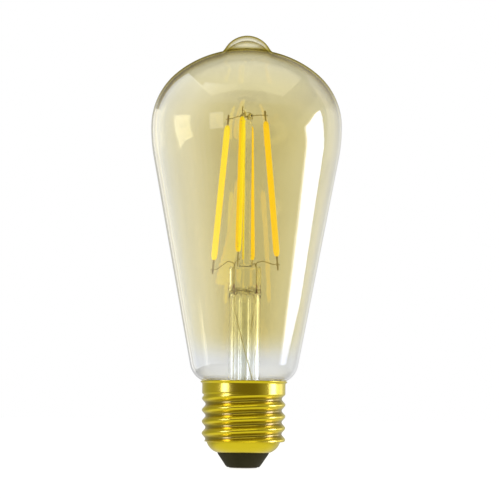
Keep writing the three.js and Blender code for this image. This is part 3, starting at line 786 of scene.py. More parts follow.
@dataclass
class Maker:
    """Makes pieces out of meshes, rides them on their body and reports them."""

    wires: "Rule"
    dots: "Rule"
    made: list[str] = field(default_factory=list)

    def bare(
        self, name: str, points: Sequence[Vector], faces: Faces, edges: Sequence = ()
    ) -> bpy.types.Object:
        """Makes an object at the origin.

        Args:
            name: its name.
            points: vertices in millimetres.
            faces: its faces.
            edges: its edges, for a path without faces.

        Returns:
            The object.
        """
        mesh = bpy.data.meshes.new(name)
        turned = outward(points, faces) if faces else []
        mesh.from_pydata([point * MM for point in points], list(edges), turned)
        mesh.validate()
        piece = bpy.data.objects.new(name, mesh)
        bpy.context.scene.collection.objects.link(piece)
        return piece

    def dress(self, piece: bpy.types.Object, finish: Finish, nodes: Sequence[str] = ()) -> bpy.types.Object:
        """Finishes a piece and ties it to the frame.

        Args:
            piece: the piece.
            finish: its finish.
            nodes: the CAD nodes it stands for.

        Returns:
            The piece.
        """
        mesh = piece.data
        mesh.shade_smooth()
        mesh.set_sharp_from_angle(angle=SHARP_ANGLE)
        mesh.materials.clear()
        mesh.materials.append(finish.material())
        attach(piece, BODY)
        if nodes:
            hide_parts(*nodes)
        self.made.append(piece.name)
        log.info("%s: %d vertices, %s", piece.name, len(mesh.vertices), finish.name)
        return piece

    def solid(self, name: str, shape: Shape, finish: Finish, node: str) -> bpy.types.Object:
        """Makes and dresses a piece that stands for a node, from vertices in millimetres, and faces."""
        return self.dress(self.bare(name, *shape), finish, [node])

    def carry(self, node: str, finish: Finish) -> None:
        """Gives a carried-over CAD node its finish.

        Args:
            node: the node's name.
            finish: its finish.
        """
        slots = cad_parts[node].data.materials
        slots.clear()
        slots.append(finish.material())
        log.info("%s: carried over, %s", node, finish.name)


class SocketKind(Enum):
    """Kinds of input that a geometry rule can have."""

    LENGTH = "NodeSocketFloat"
    COUNT = "NodeSocketInt"
    FINISH = "NodeSocketMaterial"


class Rule:
    """A geometry rule: a node tree with named inputs that changes or makes a mesh."""

    def __init__(self, name: str, inputs: dict[str, SocketKind]) -> None:
        """Starts the tree.

        Args:
            name: the tree's name.
            inputs: its inputs after the geometry.
        """
        self.tree = bpy.data.node_groups.new(name, "GeometryNodeTree")
        self.board = Board(self.tree)
        face = self.tree.interface
        face.new_socket(name="Geometry", in_out="INPUT", socket_type="NodeSocketGeometry")
        self.sockets = {
            title: face.new_socket(name=title, in_out="INPUT", socket_type=kind.value).identifier
            for title, kind in (inputs | {"Finish": SocketKind.FINISH}).items()
        }
        face.new_socket(name="Geometry", in_out="OUTPUT", socket_type="NodeSocketGeometry")
        self.given = self.board.add("NodeGroupInput")

    def close(self, geometry: Signal) -> None:
        """Ends the tree.

        Args:
            geometry: what the rule makes.
        """
        real = self.board.add("GeometryNodeRealizeInstances", {}, {"Geometry": geometry})["Geometry"]
        sockets = {"Geometry": real, "Material": self.given["Finish"]}
        dressed = self.board.add("GeometryNodeSetMaterial", {}, sockets)["Geometry"]
        self.board.add("NodeGroupOutput", {}, {"Geometry": dressed})

    def sweep(self, path: Signal, sides: Signal | int) -> Signal:
        """Sweeps a circle of the wire radius along a path.

        Args:
            path: the path.
            sides: number of sides of the circle.

        Returns:
            The wire.
        """
        sockets = {"Resolution": sides, "Radius": self.given["Wire radius"]}
        section = self.board.add("GeometryNodeCurvePrimitiveCircle", {}, sockets)["Curve"]
        sockets = {"Curve": path, "Profile Curve": section, "Fill Caps": True}
        return self.board.add("GeometryNodeCurveToMesh", {}, sockets)["Mesh"]

    def close_on_points(self, shape: Signal) -> None:
        """Ends the tree with a shape on each given point."""
        sockets = {"Points": self.given["Geometry"], "Instance": shape}
        self.close(self.board.add("GeometryNodeInstanceOnPoints", {}, sockets)["Instances"])

    def apply(self, piece: bpy.types.Object, finish: Finish, **sizes: float) -> bpy.types.Object:
        """Runs the rule on a piece and keeps the result as its mesh.

        Args:
            piece: the piece.
            finish: its finish.
            sizes: values of the inputs, with _ for a space.

        Returns:
            The piece.
        """
        modifier = piece.modifiers.new("rule", "NODES")
        modifier.node_group = self.tree
        for title, value in sizes.items():
            modifier[self.sockets[title.replace("_", " ").capitalize()]] = value
        modifier[self.sockets["Finish"]] = finish.material()
        ready = piece.evaluated_get(bpy.context.evaluated_depsgraph_get())
        mesh = bpy.data.meshes.new_from_object(ready)
        piece.modifiers.clear()
        old, piece.data = piece.data, mesh
        bpy.data.meshes.remove(old)
        mesh.name = piece.name
        return piece


def wire_rule() -> Rule:
    """A round wire along a path of straight stretches with rounded bends.

    Returns:
        The rule.
    """
    length = SocketKind.LENGTH
    rule = Rule("round_wire", {"Wire radius": length, "Bend radius": length, "Sides": SocketKind.COUNT})
    board, given = rule.board, rule.given
    path = board.add("GeometryNodeMeshToCurve", {}, {"Mesh": given["Geometry"]})["Curve"]
    sockets = {"Curve": path, "Count": BEND_STEPS, "Radius": given["Bend radius"], "Limit Radius": True}
    bent = board.add("GeometryNodeFilletCurve", {"mode": "POLY"}, sockets)["Curve"]
    rule.close(rule.sweep(bent, given["Sides"]))
    return rule


def thread_rule() -> Rule:
    """A right-hand rounded thread that a plain turned shell is rolled into.

    Returns:
        The rule.
    """
    length = SocketKind.LENGTH
    names = ["Pitch", "Depth", "First crest", "Skirt bottom", "Thread end"]
    rule = Rule("rolled_thread", {name: length for name in names})
    board, given = rule.board, rule.given
    x, y, height = board.parts(board.add("GeometryNodeInputPosition")["Position"])
    around = y.angle_to(x) / (2 * math.pi)
    turns = (height - given["First crest"]) / given["Pitch"] - around
    wave = 0.5 + 0.5 * (2 * math.pi * turns).cosine()
    skirt = height.step(given["Skirt bottom"] - SKIRT_RISE, given["Skirt bottom"])
    start = height.step(given["Thread end"] - THREAD_START, given["Thread end"])
    rolled = wave * start
    out = given["Depth"] * (rolled + (1 - rolled) * skirt) / (x * x + y * y) ** 0.5
    offset = board.add("ShaderNodeCombineXYZ", {}, {0: x * out, 1: y * out, 2: 0.0})[0]
    sockets = {"Geometry": given["Geometry"], "Offset": offset}
    rule.close(board.add("GeometryNodeSetPosition", {}, sockets)["Geometry"])
    return rule


def winding_rule() -> Rule:
    """Turns of wire on a drum that stands along Z.

    Returns:
        The rule.
    """
    length = SocketKind.LENGTH
    rule = Rule("winding", {name: length for name in ("Turns", "Coil radius", "Height", "Wire radius")})
    board, given = rule.board, rule.given
    sockets = {
        "Resolution": COIL_STEPS,
        "Rotations": given["Turns"],
        "Start Radius": given["Coil radius"],
        "End Radius": given["Coil radius"],
        "Height": given["Height"],
    }
    coil = board.add("GeometryNodeCurveSpiral", {}, sockets)["Curve"]
    rule.close_on_points(rule.sweep(coil, COIL_SIDES))
    return rule


def dots_rule() -> Rule:
    """Small beads of metal on given points.

    Returns:
        The rule.
    """
    rule = Rule("metal_dots", {"Dot radius": SocketKind.LENGTH})
    sockets = {"Radius": rule.given["Dot radius"], "Subdivisions": BEAD_LEVELS}
    rule.close_on_points(rule.board.add("GeometryNodeMeshIcoSphere", {}, sockets)["Mesh"])
    return rule


@dataclass
class Assembly:
    """A sub-assembly, which has its pieces made by a maker."""

    maker: Maker


# ---- Envelope --------------------------------------------------------------------------------


@dataclass
class Envelope(Assembly):
    """Blown glass with a tip, drawn in to the neck inside the cap. Millimetres and degrees."""

    equator: float = 108.7
    shoulder_radius: float = 21.7
    shoulder_arc: float = 48
    haunch_radius: float = 31.6
    haunch_end: float = 63
    tip_radius: float = 8.35
    tip_fillet: float = 6.5
    tip_thickening: float = 0.9
    waist_radius: float = 54
    heel_radius: float = 6.9
    heel_rise: float = 6.35
    heel_inset: float = 3.4
    neck_radius: float = 11.05
    neck_fillet: float = 2.0
    wall: float = 0.75
    segments: int = 160

    def outline(self, inset: float) -> list[Point]:
        """The outside moved in by an inset, from the neck's end to the tip.

        Args:
            inset: how far it is moved in.

        Returns:
            The points.
        """
        low, high = span("glass_envelope")
        cap_high = span("cap_shell")[1]
        widest, top = high.x, high.z
        heel = (cap_high.x - self.heel_inset, cap_high.z + self.heel_rise)
        waist = (widest - self.waist_radius, self.equator)
        shoulder = (widest - self.shoulder_radius, self.equator)
        turn = math.radians(self.shoulder_arc)
        beyond = self.haunch_radius - self.shoulder_radius
        haunch = (shoulder[0] - beyond * math.cos(turn), shoulder[1] - beyond * math.sin(turn))
        end = math.radians(self.haunch_end)
        crown_radius = self.haunch_radius + haunch[0] / math.cos(end)
        crown = (0.0, haunch[1] - haunch[0] * math.tan(end))
        tip = (0.0, top - self.tip_radius)
        to_crown, to_tip = crown_radius + self.tip_fillet, self.tip_radius + self.tip_fillet
        apart = tip[1] - crown[1]
        along = (to_crown**2 - to_tip**2 + apart**2) / (2 * apart)
        fillet = (math.sqrt(to_crown**2 - along**2), crown[1] + along)
        run = (waist[0] - heel[0], waist[1] - heel[1])
        lean = math.atan2(run[1], run[0])
        lean -= math.acos((self.heel_radius - self.waist_radius) / math.hypot(*run))
        cone = math.degrees(lean)
        neck_at = self.neck_radius + self.neck_fillet
        drop = math.sqrt((self.heel_radius + self.neck_fillet) ** 2 - (neck_at - heel[0]) ** 2)
        heel_end = math.degrees(math.atan2(-drop, neck_at - heel[0]))
        neck = (neck_at, heel[1] - drop)
        tip_foot = math.degrees(math.atan2(fillet[1] - crown[1], fillet[0]))
        tip_head = math.degrees(math.atan2(fillet[1] - tip[1], fillet[0]))
        return [
            *line((self.neck_radius - inset, low.z), (self.neck_radius - inset, neck[1] - 0.4), 4),
            *arc(neck, self.neck_fillet + inset, 180, 180 + heel_end, 10),
            *arc(heel, self.heel_radius - inset, heel_end, cone, 26)[1:],
            *arc(waist, self.waist_radius - inset, cone, 0, 22),
            *arc(shoulder, self.shoulder_radius - inset, 0, self.shoulder_arc, 22)[1:],
            *arc(haunch, self.haunch_radius - inset, self.shoulder_arc, self.haunch_end, 9)[1:],
            *arc(crown, crown_radius - inset, self.haunch_end, tip_foot, 12)[1:],
            *arc(fillet, self.tip_fillet + inset, 180 + tip_foot, 180 + tip_head, 10)[1:],
            *arc(tip, self.tip_radius - inset, tip_head, 90, 14)[1:],
        ]

    def make(self) -> None:
        """Makes the envelope."""
        inner = self.outline(self.wall)
        top = inner[-1][1]
        thick = [(r, h - self.tip_thickening * rise(h, top - 6.5, top)) for r, h in inner]
        outline = thick[::-1] + self.outline(0)
        shape = turn_outline(outline, self.segments)
        self.maker.solid("envelope_glass", shape, AMBER_GLASS, "glass_envelope")


# ---- Screw cap -------------------------------------------------------------------------------


@dataclass
class ScrewCap(Assembly):
    """Rolled brass shell with its insulator, contact and cement. Millimetres and degrees."""

    pitch: float = 3.629
    depth: float = 1.12
    first_crest: float = 8.9
    wall: float = 0.3
    skirt_bottom: float = 23.4
    skirt_top: float = 26.3
    flare: float = 0.55
    thread_end: float = 8.25
    bowl_step: float = 0.5
    bowl_step_height: float = 0.25
    bowl_radius: float = 5.0
    bowl_start: float = 18
    bowl_end: float = 69.5
    rows_a_pitch: int = 22
    segments: int = 176
    insulator_tip: float = 5.3
    contact_bevel: float = 0.5
    barrel: float = 1.6
    bore: float = 0.9
    neck_radius: float = 11.05
    lip_roll: float = 0.2
    insulator_edge: float = 0.35
    insulator_play: float = 0.3
    cement_dip: float = 0.22

    def root(self) -> float:
        """Radius of the thread's root."""
        return span("cap_shell")[1].x - self.flare - self.depth

    def shell_outline(self, wall: float) -> list[Point]:
        """The shell before the thread is rolled, from the insulator up to the skirt.

        Args:
            wall: how far it is moved in.

        Returns:
            The points.
        """
        root = self.root()
        points = arc(self.bowl_centre(), self.bowl_radius - wall, -self.bowl_end, -self.bowl_start, 26)
        rows = round(self.rows_a_pitch * (self.skirt_bottom - self.thread_end) / self.pitch)
        return points + line((root - wall, self.thread_end + wall), (root - wall, self.skirt_bottom), rows)

    def bowl_centre(self) -> Point:
        """Centre of the bowl's arc.

        Returns:
            Its radius and height.
        """
        start = math.radians(self.bowl_start)
        radius = self.root() - self.bowl_step - self.bowl_radius * math.cos(start)
        return radius, self.thread_end - self.bowl_step_height + self.bowl_radius * math.sin(start)

    def make_shell(self) -> None:
        """Makes the threaded shell with its rolled lip."""
        root, roll = self.root(), self.lip_roll
        lip, rim = root + self.flare, span("cap_shell")[1].z
        outline = [
            *self.shell_outline(0),
            *line((root, self.skirt_bottom + 0.4), (root, self.skirt_top - 0.15), 4),
            (root + 0.04, self.skirt_top),
            (root + 0.2, self.skirt_top + 0.18),
            (lip - 0.06, self.skirt_top + 0.4),
            *arc((lip - roll, rim - roll), roll, 0, 90, 5),
            (lip - self.wall - 0.1, rim),
            (lip - self.wall - 0.1, self.skirt_top + self.flare),
            (root - self.wall, self.skirt_top - 0.1),
            *self.shell_outline(self.wall)[::-1],
        ]
        shell = self.maker.bare("threaded_shell", *turn_outline(outline, self.segments))
        thread_rule().apply(
            shell,
            BRASS,
            pitch=self.pitch * MM,
            depth=self.depth * MM,
            first_crest=self.first_crest * MM,
            skirt_bottom=self.skirt_bottom * MM,
            thread_end=self.thread_end * MM,
        )
        self.maker.dress(shell, BRASS, ["cap_shell"])

    def make_ends(self) -> None:
        """Makes the insulator and the contact."""
        low, high = span("cap_insulator")
        shell_low = span("cap_shell")[0].z
        contact_low, contact_high = span("centre_contact")
        neck, edge, play = self.bowl_centre()[0], self.insulator_edge, self.insulator_play
        neck += (self.bowl_radius - self.wall) * math.cos(math.radians(self.bowl_end)) - play
        slope = (neck - self.insulator_tip) / (shell_low - play - low.z)
        outline = [
            (self.barrel + play, low.z),
            (self.insulator_tip - edge, low.z),
            *arc((self.insulator_tip - edge, low.z + edge), edge, -90, -20, 5),
            (self.insulator_tip + slope * edge, low.z + edge + 0.1),
            (neck - 0.25 * slope, shell_low - play - 0.25),
            (neck, shell_low - 0.15),
            (neck, high.z - 1.0),
            (high.x, high.z - 1.0),
            (high.x, high.z),
            (self.barrel + play, high.z),
        ]
        self.maker.solid("insulator", turn_outline(outline, 112), VITRITE, "cap_insulator")
        rim = contact_high.x
        outline = [
            (0.0, contact_low.z),
            (rim * 0.55, contact_low.z),
            (rim - self.contact_bevel, contact_low.z + 0.02),
            (rim - 0.14, contact_low.z + 0.1),
            (rim, contact_low.z + 0.22),
            (rim, low.z),
            (self.barrel, low.z),
            (self.barrel, contact_high.z),
            (self.bore, contact_high.z),
            (self.bore, low.z + self.bore),
            (0.0, low.z + self.bore),
        ]
        self.maker.solid("contact_button", turn_outline(outline, 96), TINNED, "centre_contact")

    def make_cement(self) -> None:
        """Makes the cement ring with an uneven top."""
        low, high = span("basing_cement")
        inner, outer = self.neck_radius + 0.1, high.x
        outline = [
            (inner, low.z),
            (outer, low.z),
            (outer, high.z - 0.15),
            (outer - 0.15, high.z),
            *line((outer - 0.2, high.z), (self.neck_radius + 1.0, high.z), 4)[1:],
            (inner, high.z - 2.0),
        ]
        points, faces = turn_outline(outline, 144)
        for point in points:
            if point.z > high.z - 0.1:
                point.z -= self.cement_dip * abs(noise.noise(point * 0.9))
        self.maker.solid("cement_ring", (points, faces), CEMENT, "basing_cement")

    def make(self) -> None:
        """Makes the whole cap."""
        self.make_shell()
        self.make_ends()
        self.make_cement()


# ---- Stem ------------------------------------------------------------------------------------


@dataclass
class Stem(Assembly):
    """Flared glass tube pinched into the press, exhaust tube, and rod with its bead. Millimetres."""

    radius: float = 5.1
    wall: float = 1.0
    press_height: float = 7.2
    thickness: float = 4.5
    pinch_length: float = 5.5
    flare_height: float = 9.5
    flange: float = 0.8
    neck_wall: float = 0.75
    gap: float = 0.3
    exhaust_wall: float = 0.8
    bead_height: float = 2.8
    rod_radius: float = 1.75
    flare_power: float = 2.4
    pucker: float = 0.14
    pucker_drop: float = 0.8
    pucker_reach: float = 1.5
    throat: float = 3.4
    throat_lump: float = 1.1
    dish: float = 0.35
    bead_lump: float = 0.10
    segments: int = 64

    def make_tube(self) -> None:
        """Makes the flared tube with its press."""
        low, high = span("stem_press")
        press_top = high.z
        press_bottom = press_top - self.press_height
        neck = high.x
        foot = low.z + self.flange
        widest = neck - self.neck_wall - self.gap
        bore = self.radius - self.wall

        def flare(inset: float) -> list[Point]:
            """The flare's outline moved in by an inset."""
            steps = 20
            return [
                (
                    self.radius + (widest - self.radius) * (1 - part / steps) ** self.flare_power - inset,
                    foot + self.flare_height * part / steps,
                )
                for part in range(steps + 1)
            ]

        dome = bore / 2
        bore_top = press_bottom - 0.1
        outline = [
            (0.0, bore_top),
            *line((0.3, bore_top), (bore - dome, bore_top), 5),
            *arc((bore - dome, bore_top - dome), dome, 90, 0, 12)[1:],
            *line((bore, bore_top - dome - 0.4), (bore, foot + self.flare_height + 0.6), 26),
            *flare(self.wall)[::-1],
            (widest - self.wall, low.z),
            (neck - 0.2, low.z),
            *arc((neck - self.flange / 2, low.z + self.flange / 2), self.flange / 2, -60, 60, 6),
            *flare(0),
            *line((self.radius, foot + self.flare_height + 0.6), (self.radius, press_bottom), 34),
            *line((self.radius, press_bottom + 0.3), (self.radius, press_top - 0.9), 10),
            *arc((self.radius - 0.8, press_top - 0.8), 0.8, 0, 90, 8),
            *line((self.radius - 1.0, press_top), (0.4, press_top), 8),
            (0.0, press_top),
        ]
        points, faces = turn_outline(outline, 2 * self.segments)
        flat = self.thickness / (2 * self.radius)
        for point in points:
            part = rise(point.z, press_bottom - self.pinch_length, press_bottom)
            point.y *= 1 + (flat - 1) * part
            near = math.exp(-(((point.z - press_bottom + self.pucker_drop) / self.pucker_reach) ** 2))
            pucker = self.pucker * near * noise.noise(Vector((point.x * 1.3, point.y * 1.3, point.z * 1.9)))
            inside = math.hypot(point.x, point.y) < bore + 0.01 and point.z < bore_top + 0.05
            if inside and point.z > bore_top - self.throat:
                share = rise(point.z, bore_top - self.throat, bore_top - 0.6)
                lump = noise.noise(Vector((point.x * 1.3, point.y * 1.8, 3.1)))
                point.z += self.throat_lump * share * lump
                point.x *= 1 - 0.05 * share * (1 + noise.noise(point * 1.7))
            elif not inside:
                point.x *= 1 + pucker
                point.y *= 1 + pucker
            if point.z > press_top - 1.0:
                edge = rise(abs(point.x), 1.6, 4.4)
                point.z += self.dish * (edge - 0.6) * rise(point.z, press_top - 1.0, press_top)
        self.maker.solid("stem_glass", (points, faces), DRAWN_GLASS, "stem_press")

    def make_exhaust(self) -> None:
        """Makes the exhaust tube with its sealed tail."""
        low, high = span("exhaust_tube")
        outer = high.x
        inner = outer - self.exhaust_wall
        centre = (0.0, low.z + outer)
        outline = [
            *arc(centre, outer, -90, 0, 12),
            *line((outer, low.z + outer + 1), (outer, high.z - 0.3), 30),
            *arc((outer - 0.3, high.z - 0.3), 0.3, 0, 90, 4),
            *arc((inner + 0.3, high.z - 0.3), 0.3, 90, 180, 4),
            *line((inner, high.z - 0.5), (inner, low.z + outer + 0.5), 30),
            *arc(centre, inner, 0, -90, 10),
        ]
        self.maker.solid("exhaust_glass", turn_outline(outline, self.segments), DRAWN_GLASS, "exhaust_tube")

    def make_rod(self) -> None:
        """Makes the rod with the bead that holds the upper wires."""
        low, high = span("support_rod")
        bead = high.x
        middle = high.z - self.bead_height / 2
        half = self.bead_height / 2
        neck = self.rod_radius * 0.82
        outline = [
            (0.0, low.z + 0.02),
            (self.rod_radius + 0.25, low.z + 0.02),
            (self.rod_radius + 0.05, low.z + 0.35),
            *line((self.rod_radius, low.z + 0.9), (self.rod_radius, middle - half - 0.9), 44),
            (neck, middle - half - 0.15),
            *(
                (
                    neck + (bead - neck) * math.sin(t) if t < math.pi / 2 else bead * math.sin(t),
                    middle - half * math.cos(t),
                )
                for t in (math.pi * (0.06 + 0.94 * step / 20) for step in range(20))
            ),
            (0.0, high.z),
        ]
        points, faces = turn_outline(outline, self.segments)
        for point in points:
            if point.z > middle - half:
                lump = noise.noise(point * 0.8)
                point.x *= 1 + self.bead_lump * lump
                point.y *= 1 + self.bead_lump * lump
        self.maker.solid("support_glass", (points, faces), DRAWN_GLASS, "support_rod")

    def make(self) -> None:
        """Makes the whole stem."""
        self.make_tube()
        self.make_exhaust()
        self.make_rod()


# ---- Filaments -------------------------------------------------------------------------------


def beside(turn: float, radius: float, side: float, height: float) -> Vector:
    """A point given from the axis.

    Args:
        turn: direction in degrees.
        radius: distance from the axis.
        side: offset to the side.
        height: height.

    Returns:
        The point.
    """
    angle = math.radians(turn)
    return Vector(
        (
            radius * math.cos(angle) - side * math.sin(angle),
            radius * math.sin(angle) + side * math.cos(angle),
            height,
        )
    )


TAB_SECTION = ((-1, -0.7), (-0.9, -1), (0.9, -1), (1, -0.7), (1, 0.7), (0.9, 1), (-0.9, 1), (-1, 0.7))


@dataclass(frozen=True)
class Route:
    """Where a filament stands and how its lead runs. Millimetres and degrees."""

    name: str
    turn: float
    drop: float
    entry: float
    way: tuple[tuple[float, float], ...]
    pad: float


ROUTES = (
    Route("left", 167.5, 3.1, 170, ((172, 50), (176, 28)), 172),
    Route("front", -102.5, 2.2, 200, ((205, 50), (260, 39.5), (313, 28)), 325),
    Route("right", -12.5, 2.6, -8, ((-5, 50), (8, 28)), 20),
    Route("back", 77.5, 2.2, 20, ((25, 50), (62, 40), (82, 28)), 120),
)


@dataclass
class Filament(Assembly):
    """One coated filament with its tabs and wires. Millimetres and degrees."""

    route: Route
    length: float = 44
    top_radius: float = 6.3
    bottom_radius: float = 10.3
    width: float = 1.9
    depth: float = 1.8
    taper: float = 2.0
    tab_width: float = 0.6
    tab_thickness: float = 0.25
    tab_top: float = 3.6
    tab_bottom: float = 4.6
    tab_in: float = 1.2
    wire: float = 0.14
    wire_sides: int = 14
    bend: float = 1.0
    bead_drop: float = 1.4
    weld_top: float = 2.0
    dot: float = 0.17
    squareness: float = 3.2
    unevenness: float = 0.035
    end_share: float = 0.34
    stem_bore: float = 4.1
    lead_inset: float = 0.6
    lead_rise: float = 1.6
    pad_radius: float = 3.3
    press_height: float = 7.2

    def line_radius(self, up: float) -> float:
        """Distance of the filament's line from the axis, at a height above its middle."""
        middle = (self.top_radius + self.bottom_radius) / 2
        return middle - (self.bottom_radius - self.top_radius) * up / self.length

    def centre(self) -> float:
        """Height of its middle."""
        low, high = span(f"filament_coat_{self.route.name}")
        return (low.z + high.z) / 2

    def seat(self) -> Matrix:
        """Its own frame: X away from the axis, Y round it and Z along it.

        Returns:
            The matrix from that frame to the lamp's.
        """
        turn, centre = self.route.turn, self.centre()
        middle = beside(turn, self.line_radius(0), 0, centre)
        along = (beside(turn, self.line_radius(1), 0, centre + 1) - middle).normalized()
        around = beside(turn, 0, 1, 0)
        out = around.cross(along)
        return Matrix.Translation(middle) @ Matrix((out, around, along)).transposed().to_4x4()

    def make_coat(self) -> None:
        """Makes the coat: rounded, a little uneven, drawn in at both ends."""
        seat, count, rows = self.seat(), 28, 84
        half = self.length / 2
        sections, sides = [], []
        for row in range(rows + 1):
            height = -half * math.cos(math.pi * row / rows)
            end = min(half - abs(height), self.taper) / self.taper
            shrink = self.end_share + (1 - self.end_share) * math.sqrt(max(1 - (1 - end) ** 2, 0.0))
            lump = 1 + self.unevenness * noise.noise(Vector((height * 0.35, self.route.turn, 0.5)))
            section = []
            for part in range(count):
                angle = 2 * math.pi * part / count
                c, s = math.cos(angle), math.sin(angle)
                bulge = (abs(c) ** self.squareness + abs(s) ** self.squareness) ** (-1 / self.squareness)
                x = self.width / 2 * bulge * c * shrink * lump
                y = self.depth / 2 * bulge * s * shrink * lump
                section.append(seat @ Vector((x, y, height)))
                sides.append(y / (self.depth / 2))
            sections.append(section)
        sides += [0.0, 0.0]
        name = self.route.name
        coat = self.maker.bare(f"phosphor_{name}", *loft(sections))
        layer = coat.data.attributes.new(PHOSPHOR.side, "FLOAT", "POINT")
        layer.data.foreach_set("value", sides)
        self.maker.dress(coat, PHOSPHOR, [f"filament_coat_{name}"])

    def make_tab(self, end: str) -> None:
        """Makes a tab: a flat strip with rounded corners and a weld dent.

        Args:
            end: "top" or "bottom".
        """
        seat = self.seat()
        way, length = (1, self.tab_top) if end == "top" else (-1, self.tab_bottom)
        start, stop = self.length / 2 - self.tab_in, self.length / 2 + length
        weld = self.length / 2 + (self.weld_top if end == "top" else self.route.drop)
        rows = 26
        sections = []
        for row in range(rows + 1):
            height = start + (stop - start) * row / rows
            near_end = rise(stop - height, 0, 0.35)
            wide = self.tab_width / 2 * (0.62 + 0.38 * near_end)
            thick = self.tab_thickness / 2 * (0.7 + 0.3 * near_end)
            dent = math.exp(-(((height - weld) / 0.35) ** 2))
            wide *= 1 + 0.22 * dent
            thick *= 1 - 0.25 * dent
            lean = 0.05 * math.sin(height * 2.1 + self.route.turn)
            ring = []
            for x, y in TAB_SECTION:
                ring.append(seat @ Vector((x * wide, y * thick + lean, way * height)))
            sections.append(ring)
        name = self.route.name
        self.maker.solid(f"tab_{name}_{end}", loft(sections), NICKEL, f"filament_tab_{name}_{end}")

    def make_wire(self, name: str, points: Sequence[Vector], finish: Finish, node: str) -> None:
        """Makes a round wire with rounded bends.

        Args:
            name: its name.
            points: its corners.
            finish: its finish.
            node: the CAD node it stands for.
        """
        path = self.maker.bare(name, points, [], [(step, step + 1) for step in range(len(points) - 1)])
        sizes = {"wire_radius": self.wire * MM, "bend_radius": self.bend * MM, "sides": self.wire_sides}
        self.maker.dress(self.maker.wires.apply(path, finish, **sizes), finish, [node])

    def make_wires(self) -> None:
        """Makes the upper wire from the bead and the lead down to the board."""
        route, centre, half = self.route, self.centre(), self.length / 2
        name, turn = route.name, route.turn
        side = self.tab_thickness / 2 + self.wire
        press_top = span("stem_press")[1].z
        bead = span("support_rod")[1].z - self.bead_drop
        reach = self.line_radius(half + self.weld_top)
        hook = [
            beside(turn, -0.9, 0.5, bead + 0.5),
            beside(turn, 0.9, -0.4, bead - 0.5),
            beside(turn, 2.3, 0.1, bead + 0.25),
            beside(turn, reach - 1.4, side, centre + half + 2.15),
            beside(turn, reach + 0.8, side, centre + half + 1.9),
        ]
        self.make_wire(f"upper_wire_{name}", hook, NICKEL, f"top_wire_{name}")
        lead_radius = self.stem_bore - self.lead_inset
        press_bottom = press_top - self.press_height
        neck_bottom = span("glass_envelope")[0].z
        board_top = span("driver_board")[1].z
        out, height = self.line_radius(-half - route.drop), centre - half - route.drop
        lead = [
            beside(turn, out + 0.8, side, height),
            beside(turn, out - 1.4, side, height + 0.1),
            beside(route.entry, self.stem_bore + 1.6, 0, press_top + self.lead_rise + 0.25),
            beside(route.entry, lead_radius, 0, press_top + self.lead_rise - 0.2),
            beside(route.entry, lead_radius, 0, press_bottom - self.stem_bore),
            *(beside(way_turn, lead_radius, 0, way_height) for way_turn, way_height in route.way),
            beside(route.pad, self.pad_radius, 0, neck_bottom),
            beside(route.pad, self.pad_radius, 0, board_top),
        ]
        if name in ("front", "back"):
            lead.pop(2)
        self.make_wire(f"lead_{name}", lead, LEAD, f"lead_wire_{name}")

    def make_dots(self) -> None:
        """Makes the bright joints between strip and tabs that show through the coat's edge."""
        seat, half = self.seat(), self.length / 2
        spots = [
            seat @ Vector((side * (self.width / 2 - 0.08), 0.05, end * (half - inward)))
            for side in (-1, 1)
            for end in (-1, 1)
            for inward in (1.5, 2.5)
        ]
        dots = self.maker.bare(f"joints_{self.route.name}", spots, [])
        self.maker.dress(self.maker.dots.apply(dots, NICKEL, dot_radius=self.dot * MM), NICKEL)

    def make(self) -> None:
        """Makes the whole filament."""
        self.make_coat()
        self.make_tab("top")
        self.make_tab("bottom")
        self.make_wires()
        self.make_dots()
        self.maker.carry(f"chip_strip_{self.route.name}", CERAMIC)


# ---- Driver ----------------------------------------------------------------------------------


